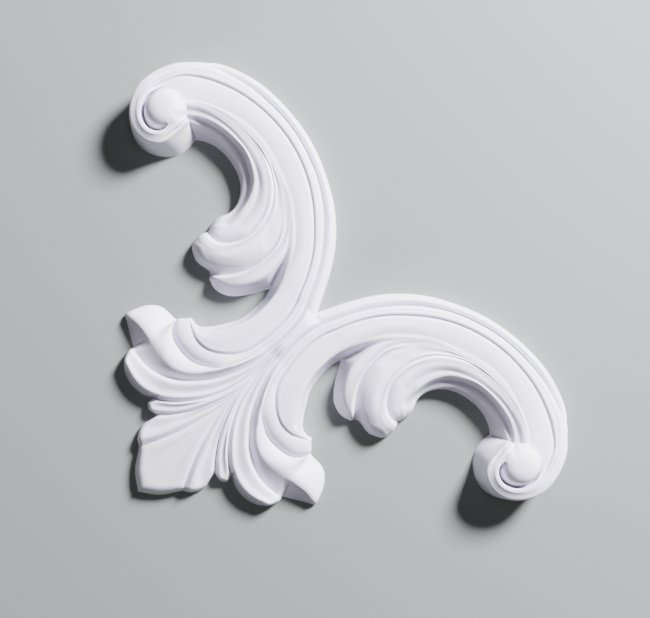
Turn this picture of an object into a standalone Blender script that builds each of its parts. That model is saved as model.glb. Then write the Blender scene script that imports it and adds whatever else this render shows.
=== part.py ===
"""Corner piece of applied moulding, cast in one: two scrolled arms that grow from an acanthus palmette.

The relief is lofted between flow lines that run along the carving: its valleys, ridges and outline.
One half is drawn in millimetres, with x across, y along the line of symmetry and z out of the flat back.
"""
import math

import bmesh
import bpy
import numpy as np

# Overall sizes, in metres
SPAN = 0.2943  # across the piece, along each arm
RELIEF = 0.0295  # from the flat back to the top of the scroll's eye

# The half is drawn at these sizes, in millimetres
DRAWN_SPAN = 294.3
DRAWN_RELIEF = 29.5

BEAD_RISE = 1.7  # of the bead above the deep groove beside it, as drawn
SIDE_DRAFT = 1.0  # how far the arm's outer side leans out towards the back, as drawn

# Rows of the loft between one key line and the next
SCROLL, ARM, NECK, THROAT, FAN, FROND, TIP = 26, 17, 2, 4, 12, 7, 8
LOBE = 10
EYE_RINGS = 4
END_ROWS = 3  # rows that round off a free end
SPAN_SAMPLES = 16  # points between two guide points when a line is measured
WELD = 0.00001
SHARP_DEGREES = 50.0

PLASTER_WHITE = (0.86, 0.86, 0.88, 1.0)
ROUGHNESS = 0.6


def slopes_at(points):
    """Gaps between points along the first axis, and the slope of a smooth curve at each point."""
    gaps = np.linalg.norm(np.diff(points[..., :2], axis=0), axis=-1)[..., None] + 1e-6
    steps = np.diff(points, axis=0) / gaps
    tangents = np.empty_like(points)
    tangents[1:-1] = (steps[:-1] * gaps[1:] + steps[1:] * gaps[:-1]) / (gaps[:-1] + gaps[1:])
    tangents[0] = steps[0]
    tangents[-1] = steps[-1]
    return gaps, tangents


def hermite(points, gaps, tangents, i, t):
    """Points at shares t of the way from points[i] to points[i + 1]."""
    return (points[i] * (1 - 3 * t**2 + 2 * t**3) + points[i + 1] * (3 * t**2 - 2 * t**3)
            + gaps[i] * (tangents[i] * (t - 2 * t**2 + t**3) + tangents[i + 1] * (t**3 - t**2)))


def smooth_run(guide):
    """A dense curve through the guide points, and where each of them falls in it."""
    guide = np.array(guide, dtype=float)
    gaps, tangents = slopes_at(guide)
    shares = np.arange(SPAN_SAMPLES)[:, None] / SPAN_SAMPLES
    dense = [hermite(guide, gaps, tangents, i, shares) for i in range(len(guide) - 1)]
    return np.concatenate(dense + [guide[-1:]]), [i * SPAN_SAMPLES for i in range(len(guide))]


def row_spacing(rows, length, zone):
    """Distances along a stretch: even, with END_ROWS closing rows in the last zone if there is one."""
    if not zone:
        return np.linspace(0.0, length, rows + 1)
    even = np.linspace(0.0, length - zone, rows - END_ROWS + 1)
    closing = np.sin(np.arange(1, END_ROWS + 1) / END_ROWS * math.pi / 2)
    return np.concatenate([even, length - zone + zone * closing])


def flow_line(stretches, rows, zones=None, round_off=(), corners=()):
    """Walk guide points in rows. Each stretch goes on from the last point of the one before it.

    zones is the length that a stretch's closing rows take. In a stretch of round_off they fall to the
    back, and after a stretch of corners the line may turn sharply.
    """
    zones = zones or {}
    placed = []
    run, ends = [], []
    for index, stretch in enumerate(stretches):
        run.extend(stretch)
        ends.append((index, len(run) - 1))
        if index not in corners and index < len(stretches) - 1:
            continue
        dense, marks = smooth_run(run)
        travelled = np.concatenate([[0.0], np.cumsum(np.linalg.norm(np.diff(dense[:, :2], axis=0), axis=1))])
        start = 0.0
        for which, last in ends:
            length = travelled[marks[last]] - start
            along = row_spacing(rows[which], length, zones.get(which))
            points = np.stack([np.interp(start + along, travelled, axis) for axis in dense.T], axis=1)
            if which in round_off:
                left = np.clip((length - along) / zones[which], 0.0, 1.0)
                points[:, 2] *= np.sqrt(np.maximum(0.0, 1.0 - (1.0 - left) ** 2))
            placed.append(points[1:] if placed else points)
            start += length
        run, ends = [run[-1]], []
    return np.concatenate(placed)


def on_back(points):
    """Guide points of the outline where it meets the back."""
    return [(x, y, 0.0) for x, y in points]


def polar(turns):
    """Guide points of the scroll from (degrees, radius, height) around its eye."""
    return [(EYE[0] + r * math.cos(math.radians(a)), EYE[1] + r * math.sin(math.radians(a)), z)
            for a, r, z in turns]


def crest_between(first, second, share, fullness, rises):
    """A line between two others, lifted towards the higher one and then by a rise.

    fullness is the share of that lift, and both are given as (row, value) where they change.
    """
    rows = np.arange(len(first))
    line = first * (1.0 - share) + second * share
    line[:, 2] += np.interp(rows, *zip(*fullness)) * (np.maximum(first[:, 2], second[:, 2]) - line[:, 2])
    line[:, 2] += np.interp(rows, *zip(*rises))
    return line


def loft(lines, columns, keys=(0,)):
    """Rows of points across the lines. A column is (steps, bulges at the key rows)."""
    lines = np.stack(lines)
    gaps, tangents = slopes_at(lines)
    rows = np.arange(lines.shape[1])
    across = [lines[0]]
    for i, (steps, bulges) in enumerate(columns):
        lift = np.interp(rows, keys, bulges)
        for k in range(1, steps):
            v = k / steps
            points = hermite(lines, gaps, tangents, i, v)
            points[:, 2] = lines[i][:, 2] * (1 - v) + lines[i + 1][:, 2] * v + lift * 4.0 * v * (1.0 - v)
            across.append(points)
        across.append(lines[i + 1])
    return np.stack(across, axis=1)


# Key lines cross the flow at the scroll's end and its start, at the crotch, the bay's apex and the slit
# on the axis, and at the foot of the fan, the outer notches and the tips.
ROWS = (SCROLL, ARM, NECK, THROAT, FAN, FROND, TIP)
END, START, CROTCH, APEX, SLIT, FOOT, NOTCH, POINT = (sum(ROWS[:i]) for i in range(len(ROWS) + 1))

DIVE = END + 17  # where the broad band dives into the groove round the eye
OPENING = START + 12  # where the band's side begins to stand clear of the leaf

EYE = (163.3, 66.3)
EYE_TOP = (165.0, 65.3)
CORNER = (149.0, 72.8, 15.0)  # where the scroll's rim meets the arm's inner side
CORNER_FOOT = (140.6, 69.2, 0.0)

RIM_TURNS = [(-195, 15.5, 18), (-178, 15.5, 19.5), (-157, 16.8, 20.8), (-140, 19.6, 22), (-126, 22.3, 22.8),
             (-110, 24.0, 23.3), (-90, 24.9, 23.5), (-69, 24.5, 23.5), (-45, 23.6, 23.5), (-23, 23.4, 23.5),
             (0, 24.4, 23.3), (24, 26.1, 23), (41, 28.8, 22.5), (60, 33.6, 21.3), (71, 36.9, 19.5),
             (78, 40.6, 17), (83, 43.4, 15)]
RIM_ROUNDING = 1.3

# The broad band's inner edge: round the eye, along the arm and down the throat into the cuff
band_edge = flow_line([
    [CORNER, *polar([(-200, 13.2, 19.5), (-192, 11.8, 21.3), (-175, 11.0, 22), (-150, 11.4, 21.5),
                     (-130, 12.8, 19.5), (-100, 14.2, 17.8), (-80, 14.9, 17.2), (-48, 15.1, 17),
                     (-8, 15.1, 17.6), (21, 14.5, 18.8), (50, 13.7, 20.2), (78, 13.1, 21.3)]),
     (161.1, 78.9, 21.8)],
    [(153.3, 86.9, 20.2), (140, 93.7, 18.9), (127.5, 98, 18.3), (114, 99.8, 18), (100.5, 98.4, 17.8),
     (88, 94.8, 17.7), (75, 89.8, 17.6), (63.5, 84, 17.6), (51.5, 75, 17.4), (43, 66.5, 17.2),
     (38.5, 60, 17), (35, 53, 16.8), (32.5, 46, 16.5)],
    [(30, 39.5, 16.2), (28.1, 33.3, 16)],
    [(26.9, 26.7, 15.8), (26.5, 19.5, 15.6), (27, 12, 15.4), (28.8, 4.5, 15.2)],
    [(31.3, -1.5, 15), (33.7, -6.5, 14.7), (36.5, -11.3, 14.3)],
    [(41, -16.8, 12.5), (46, -20.2, 10.5), (50.5, -20.3, 9), (53, -17.8, 7)],
], ROWS, zones={5: 3.0}, round_off=(5,), corners=(0,))

# The shallow groove between the broad band and the narrow one
band_groove = flow_line([
    [CORNER, *polar([(-200, 13.6, 19.5), (-192, 12.4, 21.4), (-175, 11.7, 22.1), (-150, 12.1, 21.6),
                     (-130, 13.4, 19.4), (-100, 14.9, 17.6), (-80, 15.5, 17), (-48, 15.8, 16.9),
                     (-25, 16.3, 17.1), (-8, 17.2, 17.4), (10, 18.2, 17.9), (26, 19.2, 18.3),
                     (38, 20.6, 18.6), (51, 22.5, 18.9), (63, 25.1, 19.1), (80, 29.6, 19.1)]),
     (163.5, 97.5, 19)],
    [(150, 105, 17.8), (135, 110.8, 17.2), (118, 113, 16.9), (100, 112.2, 16.8), (80, 107.2, 16.8),
     (60, 97.3, 16.7), (45, 85.5, 16.6), (30, 69.3, 16.3), (20, 52, 15.8), (16.8, 44, 15.5)],
    [(14.4, 38.5, 15.3), (12.6, 33, 15.2)],
    [(11.3, 25, 15), (11, 17, 14.9), (11.6, 10.5, 14.7), (12.8, 4.5, 14.5)],
    [(15.3, -3.5, 14.2), (19.5, -11, 13.9), (25, -17.8, 13.6), (33, -23, 13.2)],
    [(38, -24.8, 12.8), (43.5, -25.2, 12), (49, -23.8, 10.8), (53.5, -21.3, 9.3), (56.7, -17.2, 8)],
], ROWS, zones={5: 3.0}, round_off=(5,))

# The deep groove inside the bead, which opens into the valley above the outer frond
deep_groove = flow_line([
    [CORNER, *polar([(a, r - RIM_ROUNDING * min(1, (a + 200) / 40), z + RIM_ROUNDING * 0.7)
                     for a, r, z in RIM_TURNS[:-1]]), (165, 110.2, 14.5)],
    [(152, 116, 13.5), (137, 120, 12.8), (120.5, 121.4, 12.5), (100.8, 120.5, 12.5), (80.5, 115.6, 12.5),
     (60.3, 106.9, 12.6), (45.2, 96.4, 12.8), (30.2, 81, 13), (20, 66.8, 13.1), (13, 53.5, 13.2),
     (8.6, 43.8, 13.3)],
    [(6.6, 38.5, 13.5), (5.2, 33, 13.7)],
    [(4.2, 25, 13.9), (3.9, 17, 14), (4.2, 10, 14), (4.7, 4, 14)],
    [(6.3, -6, 13.9), (9.5, -16.5, 13.6), (14.3, -28, 12.7), (20.3, -39, 11.4), (27.5, -48, 9.8),
     (34, -53, 8.7), (41, -56.2, 7.8)],
    [(48, -58.2, 7), (55, -59, 6.3), (62, -58.8, 5.7), (69.3, -57.9, 5)],
], ROWS, zones={4: 18.0, 5: 4.0}, round_off=(5,))

# The rim: round the drum of the scroll, along the arm, down the axis, then the valley to the outer frond
rim = flow_line([
    [CORNER, *polar(RIM_TURNS), (166.6, 112.6, 12.5)],
    [(161, 117, 10.5), (151.8, 121.5, 9.3), (136.6, 126, 9), (119.4, 127.3, 9), (101.3, 126.2, 9),
     (81.1, 121.9, 9), (60.8, 113.5, 9), (45.6, 104.9, 9), (31, 93, 9), (21, 81.4, 9), (14.4, 71.2, 9),
     (8.8, 61.1, 9), (4, 51, 9), (0, 43, 9)],
    [(0, 38.5, 13), (0, 34, 15)],
    [(0, 20, 15.2), (0, 9, 15.1), (0, 4, 14.2)],
    [(1, -4, 13.9), (2.2, -13, 13.4), (4.6, -26, 12.9), (8, -37.5, 12.1), (13.3, -48.3, 11.2),
     (19.5, -57.6, 9.9), (26.5, -65.6, 8), (32, -69.7, 6.5), (35.7, -71.4, 5.5)],
    on_back([(41, -74.3), (46.5, -75.6), (52, -75.8), (57.5, -74.8), (62, -72.8), (65.8, -69.8)]),
], ROWS, zones={4: 3.5, 5: 6.0}, round_off=(4,), corners=(0, 1, 2, 3, 4))
rim[FOOT:, 2] = 0.0


def sprung_line(along_arm, fan, frond, zones, round_off=()):
    """A line that goes its own way through the palmette after it has followed others along the arm."""
    return np.concatenate([
        along_arm, flow_line([[tuple(along_arm[-1]), *fan], frond], (FAN, FROND), zones, round_off)[1:]])


# On the narrow band: the line that becomes the edge of the cuff, and the ridge of the upper frond
to_slit = slice(END, SLIT + 1)
cuff_edge = sprung_line(
    crest_between(band_groove[to_slit], deep_groove[to_slit], 0.28,
                  [(END, 1.0), (DIVE, 0.9), (DIVE + 3, 0.35), (START - 2, 0.3), (START, 1.0)],
                  [(END, 0.0), (START, 0.4), (SLIT, 0.9)]),
    [(12, -7, 15), (16, -18, 14.8), (21, -27.5, 14.2), (27.5, -33.6, 11.5), (34.5, -36.9, 10)],
    [(43.3, -38.6, 9), (51, -37.2, 8.3), (57, -33.8, 7.5), (60.8, -29.8, 6.8), (62.6, -25, 5)],
    {1: 2.5}, (1,))
upper_ridge = sprung_line(
    crest_between(band_groove[to_slit], deep_groove[to_slit], 0.68, [(END, 0.8)],
                  [(END, 0.0), (START, 0.4), (SLIT, 0.6)]),
    [(9, -8, 15.2), (12.5, -18, 15), (17.5, -28, 14.6), (22.5, -38, 14.2), (28.3, -44.7, 13.8), (37, -48.2, 13.4)],
    [(45, -48.8, 13), (53, -47.8, 12.6), (60, -46.2, 12), (66, -45, 11.3)],
    {0: 14.0})

# On the bead: its crest, and the soft groove and the ridge that part from it in the outer frond
SETTLED = START + 4
bead_crest = sprung_line(
    crest_between(deep_groove[to_slit], rim[to_slit], 0.5, [(END, 1.0)],
                  [(START, 0.0), (SETTLED, BEAD_RISE), (CROTCH, 1.5), (APEX, 0.2), (SLIT, 0.9)]),
    [(4, -8, 15.1), (7, -18, 14.9), (11.5, -28, 14.5), (17.5, -39, 14), (25, -48.5, 13.3), (32.5, -55.2, 12.4),
     (39, -59.3, 11.5)],
    [(46, -61.6, 10.3), (54, -62.2, 9), (62, -61.6, 7.8), (70, -60.3, 7)],
    {0: 15.0, 1: 4.0}, (1,))
frond_groove = sprung_line(
    crest_between(deep_groove[to_slit], rim[to_slit], 0.7, [(END, 1.0)],
                  [(END, 0.0), (START, -0.2), (SETTLED, 0.7), (CROTCH, 0.4), (APEX, 0.1), (SLIT, 0.6)]),
    [(3, -10, 14.8), (5.4, -20, 14.4), (9, -31, 13.6), (14.5, -42.5, 12.7), (21.5, -51.5, 11.8),
     (29, -58.8, 10.8), (37, -63.5, 10)],
    [(45, -65.6, 9.5), (53, -65.8, 9), (61, -64.8, 8.4), (69.7, -63, 8)],
    {0: 10.0, 1: 4.0}, (1,))
outer_ridge = sprung_line(
    crest_between(deep_groove[to_slit], rim[to_slit], 0.87, [(END, 1.0)],
                  [(END, 0.0), (START, -0.5), (SETTLED, -1.2), (CROTCH, -1.5), (APEX, 0.0), (SLIT, 0.3)]),
    [(2.2, -10, 14.3), (4.3, -22, 14), (7.8, -33.5, 13.6), (12.7, -43.5, 13.1), (19, -52.5, 12.5),
     (26.5, -60.5, 11.6), (35, -66.8, 10.6)],
    [(43, -69.8, 10.4), (51, -70.4, 10.2), (58.5, -69, 9.9), (64, -67.2, 9.4), (68.3, -66.6, 9)],
    {0: 6.0, 1: 4.0}, (1,))

# The upper frond's outline from the notches to its tip
TIP_ROWS = (TIP,)
upper_outline = flow_line([on_back([(62.6, -25), (66, -25.4), (70, -25.3), (74, -25.6), (77.5, -26.9),
                                    (80.3, -29), (83, -32), (85.2, -35.5), (87, -39.5)])], TIP_ROWS, {0: 6.0})
tip_ridge = flow_line([[tuple(upper_ridge[-1]), (73, -44.3, 10), (80, -44.5, 8), (85, -45.8, 6), (88.3, -46.9, 5)]],
                      TIP_ROWS, {0: 4.0}, (0,))
lower_outline = flow_line([on_back([(69.3, -57.9), (74, -55.2), (79, -52.2), (83, -49.9), (86, -48.3)])],
                          TIP_ROWS, {0: 4.0})

# Beside the band: the valley where the side leaf parts from it, then the throat's outline on the back
SIDE_ROWS = ROWS[1:6]
parting = flow_line([
    [(159.6, 78.5, 21.7), (152, 85.3, 20), (139, 92, 18.5), (127, 96.3, 17.8), (114, 98, 17.5),
     (101, 96.6, 17.3), (89, 93, 17.2), (76, 88, 17.2), (65, 82.5, 17.2), (53, 73.5, 16.8), (45, 65.3, 16.3),
     (41, 60.2, 15.4), (37.5, 54, 13.5), (35.3, 47, 9.5)],
    [(34.3, 40, 5), (33.6, 33.4, 0)],
    on_back([(32.1, 28), (31.5, 20), (31.9, 12), (33.7, 4)]),
    on_back([(36.3, -1), (38.5, -4.6), (40.5, -8)]),
    on_back([(44, -12.7), (47.3, -16.3), (50, -17.9)]),
], SIDE_ROWS, zones={4: 3.0}, corners=(1,))

# The side leaf, from the arm's inner side across its three lobes
LEAF_ROWS = (ARM + NECK, LOBE)
leaf_ends = {1: 5.0}


def leaf_line(along_arm, along_lobe, closes=True):
    return flow_line([along_arm, along_lobe], LEAF_ROWS, leaf_ends, (1,) if closes else ())


inner_foot = leaf_line(
    [CORNER_FOOT, *on_back([(136, 72.6), (129, 75.4), (120.5, 76.4), (112, 75.4), (104, 73), (97.5, 69),
                            (92.5, 63.3), (89.7, 57.5), (89, 52.5)])],
    on_back([(89.5, 49.5), (91, 46.3), (92.2, 42.5), (92.2, 38.5)]), closes=False)
inner_step = leaf_line(
    [CORNER, (142.2, 76.6, 12.5), (135, 79.6, 11.3), (127.8, 80.8, 10.8), (118, 80.4, 10.5), (108.2, 77.5, 10.3),
     (99, 72.7, 9.8), (93.2, 66.5, 8.8), (89.6, 60, 7.5), (88, 53.5, 6.5)],
    [(88.2, 49, 6.5), (89.2, 45.5, 7), (90.2, 41.5, 7), (92, 36.6, 6)])
flank_top = leaf_line(
    [(152.6, 74.4, 18.8), (145.7, 80, 17.2), (139.3, 83.1, 16.8), (130.5, 85.4, 16.5), (120.3, 86.3, 16.5),
     (108.9, 85.4, 16.3), (98.8, 81.2, 16), (90.6, 75.5, 15.7), (86.1, 69.2, 15.4), (83.3, 62, 15), (82.3, 55, 14.5)],
    [(82.7, 50, 13.8), (84, 45, 12.8), (86, 40.5, 11.5), (91.6, 35, 9)])
lobe_groove = leaf_line(
    [(153.8, 75.4, 19.8), (146.5, 81.7, 17.8), (139.5, 85.2, 17), (130, 87.8, 16.8), (120, 88.9, 16.7),
     (110, 88.5, 16.6), (100.5, 86.6, 16.4), (91.2, 82.5, 16.2), (83.6, 75.5, 16), (78.8, 67.9, 15.7),
     (77, 61, 15.3), (76.8, 54.5, 14.8)],
    [(78, 48, 14.6), (80.7, 42, 14), (84.5, 37.3, 12.5), (90.9, 33.3, 9.5)])
first_valley = leaf_line(
    [(155.2, 76.4, 20.7), (140, 88, 18.7), (127, 91.6, 18.4), (114, 93, 18.3), (101, 91.5, 18.3), (92.5, 88.2, 18.1),
     (84, 83, 18), (76.7, 76.5, 17.8), (71.2, 69.5, 17.6), (67.8, 62, 17.4), (66.7, 53.5, 17)],
    [(67.8, 46, 16), (70.5, 39.5, 14), (75, 33.5, 12), (80.5, 30, 10.5), (85.5, 29.6, 9.3), (90, 31.2, 8)])
first_ridge = leaf_line(
    [(156.0, 76.9, 21), (140.3, 89.5, 18.9), (127, 93.6, 18.6), (114, 95.3, 18.4), (100.5, 94, 17.7),
     (91.2, 90.9, 16.6), (82.3, 85.8, 16), (74.7, 79.4, 15.6), (69, 71.8, 15.3), (65, 62.9, 15), (63.6, 54, 15),
     (63.6, 51, 15)],
    [(64.7, 45.1, 15.3), (67.5, 38, 15.7), (71.5, 32, 15.5), (77, 27.3, 14.8), (84, 24.7, 13.8), (92.3, 25.5, 12)])
second_valley = leaf_line(
    [(156.9, 77.4, 21.3), (141, 90.3, 18.9), (127, 94.6, 18.5), (114, 96.4, 18.3), (101, 95.3, 18.1), (89, 92, 17.9),
     (77, 86.5, 17.9), (69, 80.3, 18), (63.5, 75.3, 18), (56.5, 67.5, 17.9), (52, 60.5, 17.6), (50, 53.5, 17),
     (49.8, 46, 16.2), (49.9, 44, 16)],
    [(50.5, 38, 14.3), (52.7, 31, 12), (56.2, 24.5, 10), (60.7, 18.5, 8.5), (65, 14, 7.3), (68, 11.7, 6)])
second_ridge = leaf_line(
    [(157.8, 77.8, 21.5), (141.3, 91, 18.7), (127, 95.4, 18.2), (114, 97.2, 18), (101, 96, 17.7), (89, 92.6, 17.5),
     (76.5, 87.3, 17.4), (67, 81.8, 17.3), (60.5, 75.9, 17), (54.3, 69.3, 16.2), (49.7, 61.8, 15.6), (47.7, 54, 15.3),
     (47.3, 46, 15.5), (47.3, 43, 15.6)],
    [(47.8, 37, 15.8), (49.7, 30, 15.5), (53, 23.5, 14.5), (57.5, 17.7, 12.8), (62.3, 13.4, 11), (67, 10.1, 8)])
leaf_shoulder = leaf_line(
    [(158.7, 78.2, 21.6), (141.8, 91.6, 18.6), (127, 96, 18), (114, 97.7, 17.7), (101, 96.4, 17.5), (89, 92.9, 17.4),
     (76.2, 87.8, 17.4), (66, 82.2, 17.4), (56, 74.3, 17.4), (48.5, 66.5, 17.4), (43.5, 59.5, 17.2), (41, 52, 16.9),
     (40.4, 45, 16.5), (40.7, 39.5, 16.1)],
    [(42.3, 32, 15.3), (45.5, 25, 14), (50, 18.7, 12.5), (55.5, 14, 11), (60.5, 11.7, 9.5), (65, 8.8, 8)])
leaf_foot = flow_line(
    [[(33.6, 33.4, 0), *on_back([(36.2, 29.3), (38.8, 24.3), (42, 19.2), (45.8, 14.3), (50, 10.5), (54.5, 8.3),
                                 (59, 7.4), (62.7, 7.8)])]], (LOBE,), {0: 5.0})


def lobe_back(share, along_lobe):
    """A line down the back of the middle lobe, which lies between its ridge and the next valley."""
    upto = slice(0, LEAF_ROWS[0] + 1)
    along_arm = crest_between(first_ridge[upto], second_valley[upto], share, [(0, 1.0)],
                              [(0, 0.0), (LEAF_ROWS[0], 0.5)])
    lobe = flow_line([[tuple(along_arm[-1]), *along_lobe]], (LOBE,), {0: 5.0}, (0,))
    return np.concatenate([along_arm, lobe[1:]])


middle_back = lobe_back(0.33, [(60.7, 42, 16.5), (63.5, 35, 16), (68, 28.5, 15.2), (74.5, 23.3, 14.2),
                               (82, 20.5, 13), (91, 17.7, 11)])
middle_side = lobe_back(0.66, [(55.5, 39.5, 15.8), (58.3, 32, 14.6), (63, 25, 13.2), (69, 19.5, 12),
                               (75.5, 16.3, 11), (82, 11.9, 10)])

# Between the outer fronds: ribs that spring from the axis below the slit and end at the palmette's foot
RIB_ROWS = (FAN,)


def rib(points, zone=4.0):
    return flow_line([points], RIB_ROWS, {0: zone}, (0,))


finger_back = rib([(0, -3, 14.8), (2.2, -17.5, 14.8), (4.7, -30, 14.6), (7.9, -41.3, 14.2), (12, -51.4, 13.8),
                   (16.2, -59.2, 13), (21.8, -66.4, 11.8), (27, -71.6, 10.5), (32, -75.4, 9), (36.9, -77.8, 7)])
finger_edge = rib([(0, -10, 15.2), (2.2, -22, 15), (4.8, -34, 14.6), (7.8, -45, 14.1), (10.7, -54.5, 13.3),
                   (13, -60.7, 11.3), (17, -67.2, 9.6), (22, -73.5, 7.5), (27.2, -78.8, 5.5)])
hollow = rib([(0, -15, 15.2), (2.3, -28, 14.9), (4.8, -40, 14.5), (8, -52, 13.9), (11.5, -62.5, 12.8),
              (15.8, -71.5, 11), (20, -79, 8.5), (24, -85.5, 6.5), (28.9, -88.3, 5.5)])
side_ridge = rib([(0, -20, 15.2), (2.2, -33, 15), (4.6, -46, 14.6), (7.8, -58, 14), (11.3, -69.5, 13),
                  (15.3, -80.5, 11.5), (19.5, -89.5, 9.8), (24.8, -97.5, 7)])
rib_valley = rib([(0, -30, 15.1), (1.8, -42, 14.7), (3.8, -54, 13.8), (6.6, -66, 12.6), (10.2, -77.5, 11),
                  (14.3, -87.3, 9.2), (17.5, -94.5, 7.5), (20.3, -100.6, 6)])
inner_ridge = rib([(0, -38, 15), (1.3, -48, 14.6), (2.9, -57, 14), (5.2, -67, 13.3), (8.7, -78.3, 12),
                   (12.8, -88, 10.3), (15.8, -95, 8.8), (18, -103.8, 7)], 6.0)
middle_leaf = rib([(0, -44, 14.8), (1.2, -58, 14.2), (3, -72, 13), (5.5, -86, 11.2), (8.3, -98, 9.4),
                   (11.3, -112.8, 7.5)], 8.0)
axis_line = rib([(0, -50, 14.6), (0, -70, 13.2), (0, -88, 11.5), (0, -102, 9.8), (0, -112, 8.5), (0, -121, 8)], 9.0)


def beside(line, distance):
    """The line moved to the right of its flow, on the back."""
    ahead = np.gradient(line[:, :2], axis=0)
    ahead /= np.linalg.norm(ahead, axis=1)[:, None]
    return np.stack([line[:, 0] + ahead[:, 1] * distance, line[:, 1] - ahead[:, 0] * distance,
                     np.zeros(len(line))], axis=1)


# Foot of the outer side: round the drum, then along the arm to the crotch
arm_foot = beside(rim[START:CROTCH + 1], SIDE_DRAFT)
arm_foot[-1] = (0.0, 44.6, 0.0)
drum_foot = flow_line([[
    CORNER_FOOT, *polar([(-170, 24.0, 0), (-151, 25.4, 0), (-138, 25.9, 0), (-126, 26.2, 0), (-112, 26.7, 0),
                         (-97, 26.8, 0), (-75, 26.3, 0), (-50, 25.3, 0), (-23, 24.7, 0), (0, 25.4, 0),
                         (24, 27.2, 0), (41, 30.0, 0), (60, 34.9, 0), (71, 38.2, 0), (78, 41.7, 0),
                         (83, 44.6, 0)]),
    tuple(arm_foot[0])]], (SCROLL,))
side_foot = np.concatenate([drum_foot, arm_foot[1:]])

# The blocks of the half: rows along the flow, places across it
RIBBON_KEYS = (END, DIVE, START, CROTCH, APEX, SLIT, FOOT, NOTCH)
ribbon = loft([band_edge, band_groove, cuff_edge, upper_ridge, deep_groove, bead_crest, frond_groove,
               outer_ridge, rim], [
    (3, (0.0, 0.0, 0.8, 1.4, 1.4, 1.0, 0.8, 0.0)),
    (2, (0.0, 0.3, 0.3, 0.2, 0.2, 0.2, 2.0, 0.0)),
    (2, (0.0, 0.3, 0.3, 0.2, 0.2, 0.2, 1.2, 3.5)),
    (2, (0.0, 0.5, 0.8, 0.9, 0.9, 0.6, 1.5, 3.5)),
    (1, (0.0,) * 8),
    (1, (0.0,) * 8),
    (1, (0.0,) * 8),
    (2, (0.0, 0.1, 0.6, 0.6, 0.0, 0.3, 1.0, 0.0)),
], RIBBON_KEYS)

tip = loft([upper_outline, tip_ridge, lower_outline], [
    (2, (3.5, 3.0, 0.0)),
    (2, (3.5, 3.0, 0.0)),
], (0, TIP - END_ROWS, TIP))
TIP_COLUMNS = slice(5, 10)  # of the ribbon, from the cuff's edge to the deep groove
fading = (1.0 - np.arange(TIP + 1) / TIP) ** 2
tip += (ribbon[NOTCH, TIP_COLUMNS] - tip[0]) * fading[:, None, None]

flank = loft([parting, band_edge[START:]], [
    (3, (0.1, 0.1, 1.5, 3.0, 3.0, 2.5, 0.0)),
], tuple(key - START for key in (START, OPENING, CROTCH, APEX, SLIT, FOOT, NOTCH)))

LEAF_KEYS = (0, ARM, ARM + NECK, ARM + NECK + LOBE - END_ROWS, ARM + NECK + LOBE)
leaf_inner = np.concatenate([parting[:ARM + NECK + 1], leaf_foot[1:]])
leaf = loft([inner_foot, inner_step, flank_top, lobe_groove, first_valley, first_ridge, middle_back, middle_side,
             second_valley, second_ridge, leaf_shoulder, leaf_inner], [
    (1, (0.0,) * 5),
    (2, (0.0, 0.5, 1.0, 0.8, 0.0)),
    (1, (0.0,) * 5),
    (2, (0.1, 0.6, 1.2, 1.5, 0.0)),
    (1, (0.0,) * 5),
    (2, (0.0, 0.2, 0.3, 0.5, 0.0)),
    (2, (0.0, 0.2, 0.3, 0.5, 0.0)),
    (2, (0.0, 0.2, 0.3, 0.5, 0.0)),
    (1, (0.0,) * 5),
    (2, (0.0, 0.8, 1.0, 0.8, 0.0)),
    (2, (0.0, 0.3, 2.0, 1.5, 0.0)),
], LEAF_KEYS)

FAN_KEYS = (0, FAN - END_ROWS, FAN)
ribs = loft([rim[SLIT:FOOT + 1], finger_back, finger_edge, hollow, side_ridge, rib_valley, inner_ridge,
             middle_leaf, axis_line], [
    (2, (0.1, 1.2, 0.0)),
    (2, (0.1, 1.2, 0.0)),
    (2, (0.0, 0.2, 0.0)),
    (2, (0.0, 0.2, 0.0)),
    (2, (0.1, 0.8, 0.0)),
    (1, (0.0,) * 3),
    (2, (0.1, 0.8, 0.0)),
    (2, (0.1, 0.5, 0.0)),
], FAN_KEYS)

side = loft([rim[:CROTCH + 1], side_foot], [(1, (0.0,))])

# The corner between the arm's inner side and the eye, and the eye itself: rings that close on a dome
CORNER_ROWS = 2
web = loft([leaf[0, 1:CORNER_ROWS + 2], band_edge[:CORNER_ROWS + 1]], [(2, (0.0,))])
around_eye = np.concatenate([leaf[0, CORNER_ROWS + 1:], flank[0, 1:], band_edge[START - 1:CORNER_ROWS:-1],
                             web[-1, ::-1]])
closeness = np.cos(np.arange(EYE_RINGS + 1) / EYE_RINGS * math.pi / 2)[:, None, None]
steepness = np.interp(around_eye[:, 2:], (12.0, 21.0), (0.5, 1.1))
eye = np.empty((EYE_RINGS + 1, *around_eye.shape))
eye[..., :2] = np.array(EYE_TOP) + (around_eye[:, :2] - np.array(EYE_TOP)) * closeness
eye[..., 2:] = around_eye[:, 2:] + (DRAWN_RELIEF - around_eye[:, 2:]) * (1.0 - closeness**2) ** steepness


def add_block(bm, block):
    """Bend a grid onto a block's points."""
    rows, places = block.shape[:2]
    made = bmesh.ops.create_grid(bm, x_segments=places - 1, y_segments=rows - 1, size=1.0)
    for vert, point in zip(made["verts"], block.reshape(-1, 3)):
        vert.co = point


def close_back(bm):
    """The flat back: one face inside the outline, open on the line of symmetry."""
    outline = [edge for edge in bm.edges if edge.is_boundary and all(v.co.z < WELD for v in edge.verts)]
    ends = [v for v in {v for edge in outline for v in edge.verts} if abs(v.co.x) < WELD]
    outline.append(bm.edges.new(ends))
    made = bmesh.ops.contextual_create(bm, geom=outline)
    bmesh.ops.recalc_face_normals(bm, faces=bm.faces)
    if made["faces"][0].normal.z > 0.0:
        bmesh.ops.reverse_faces(bm, faces=bm.faces)


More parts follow.
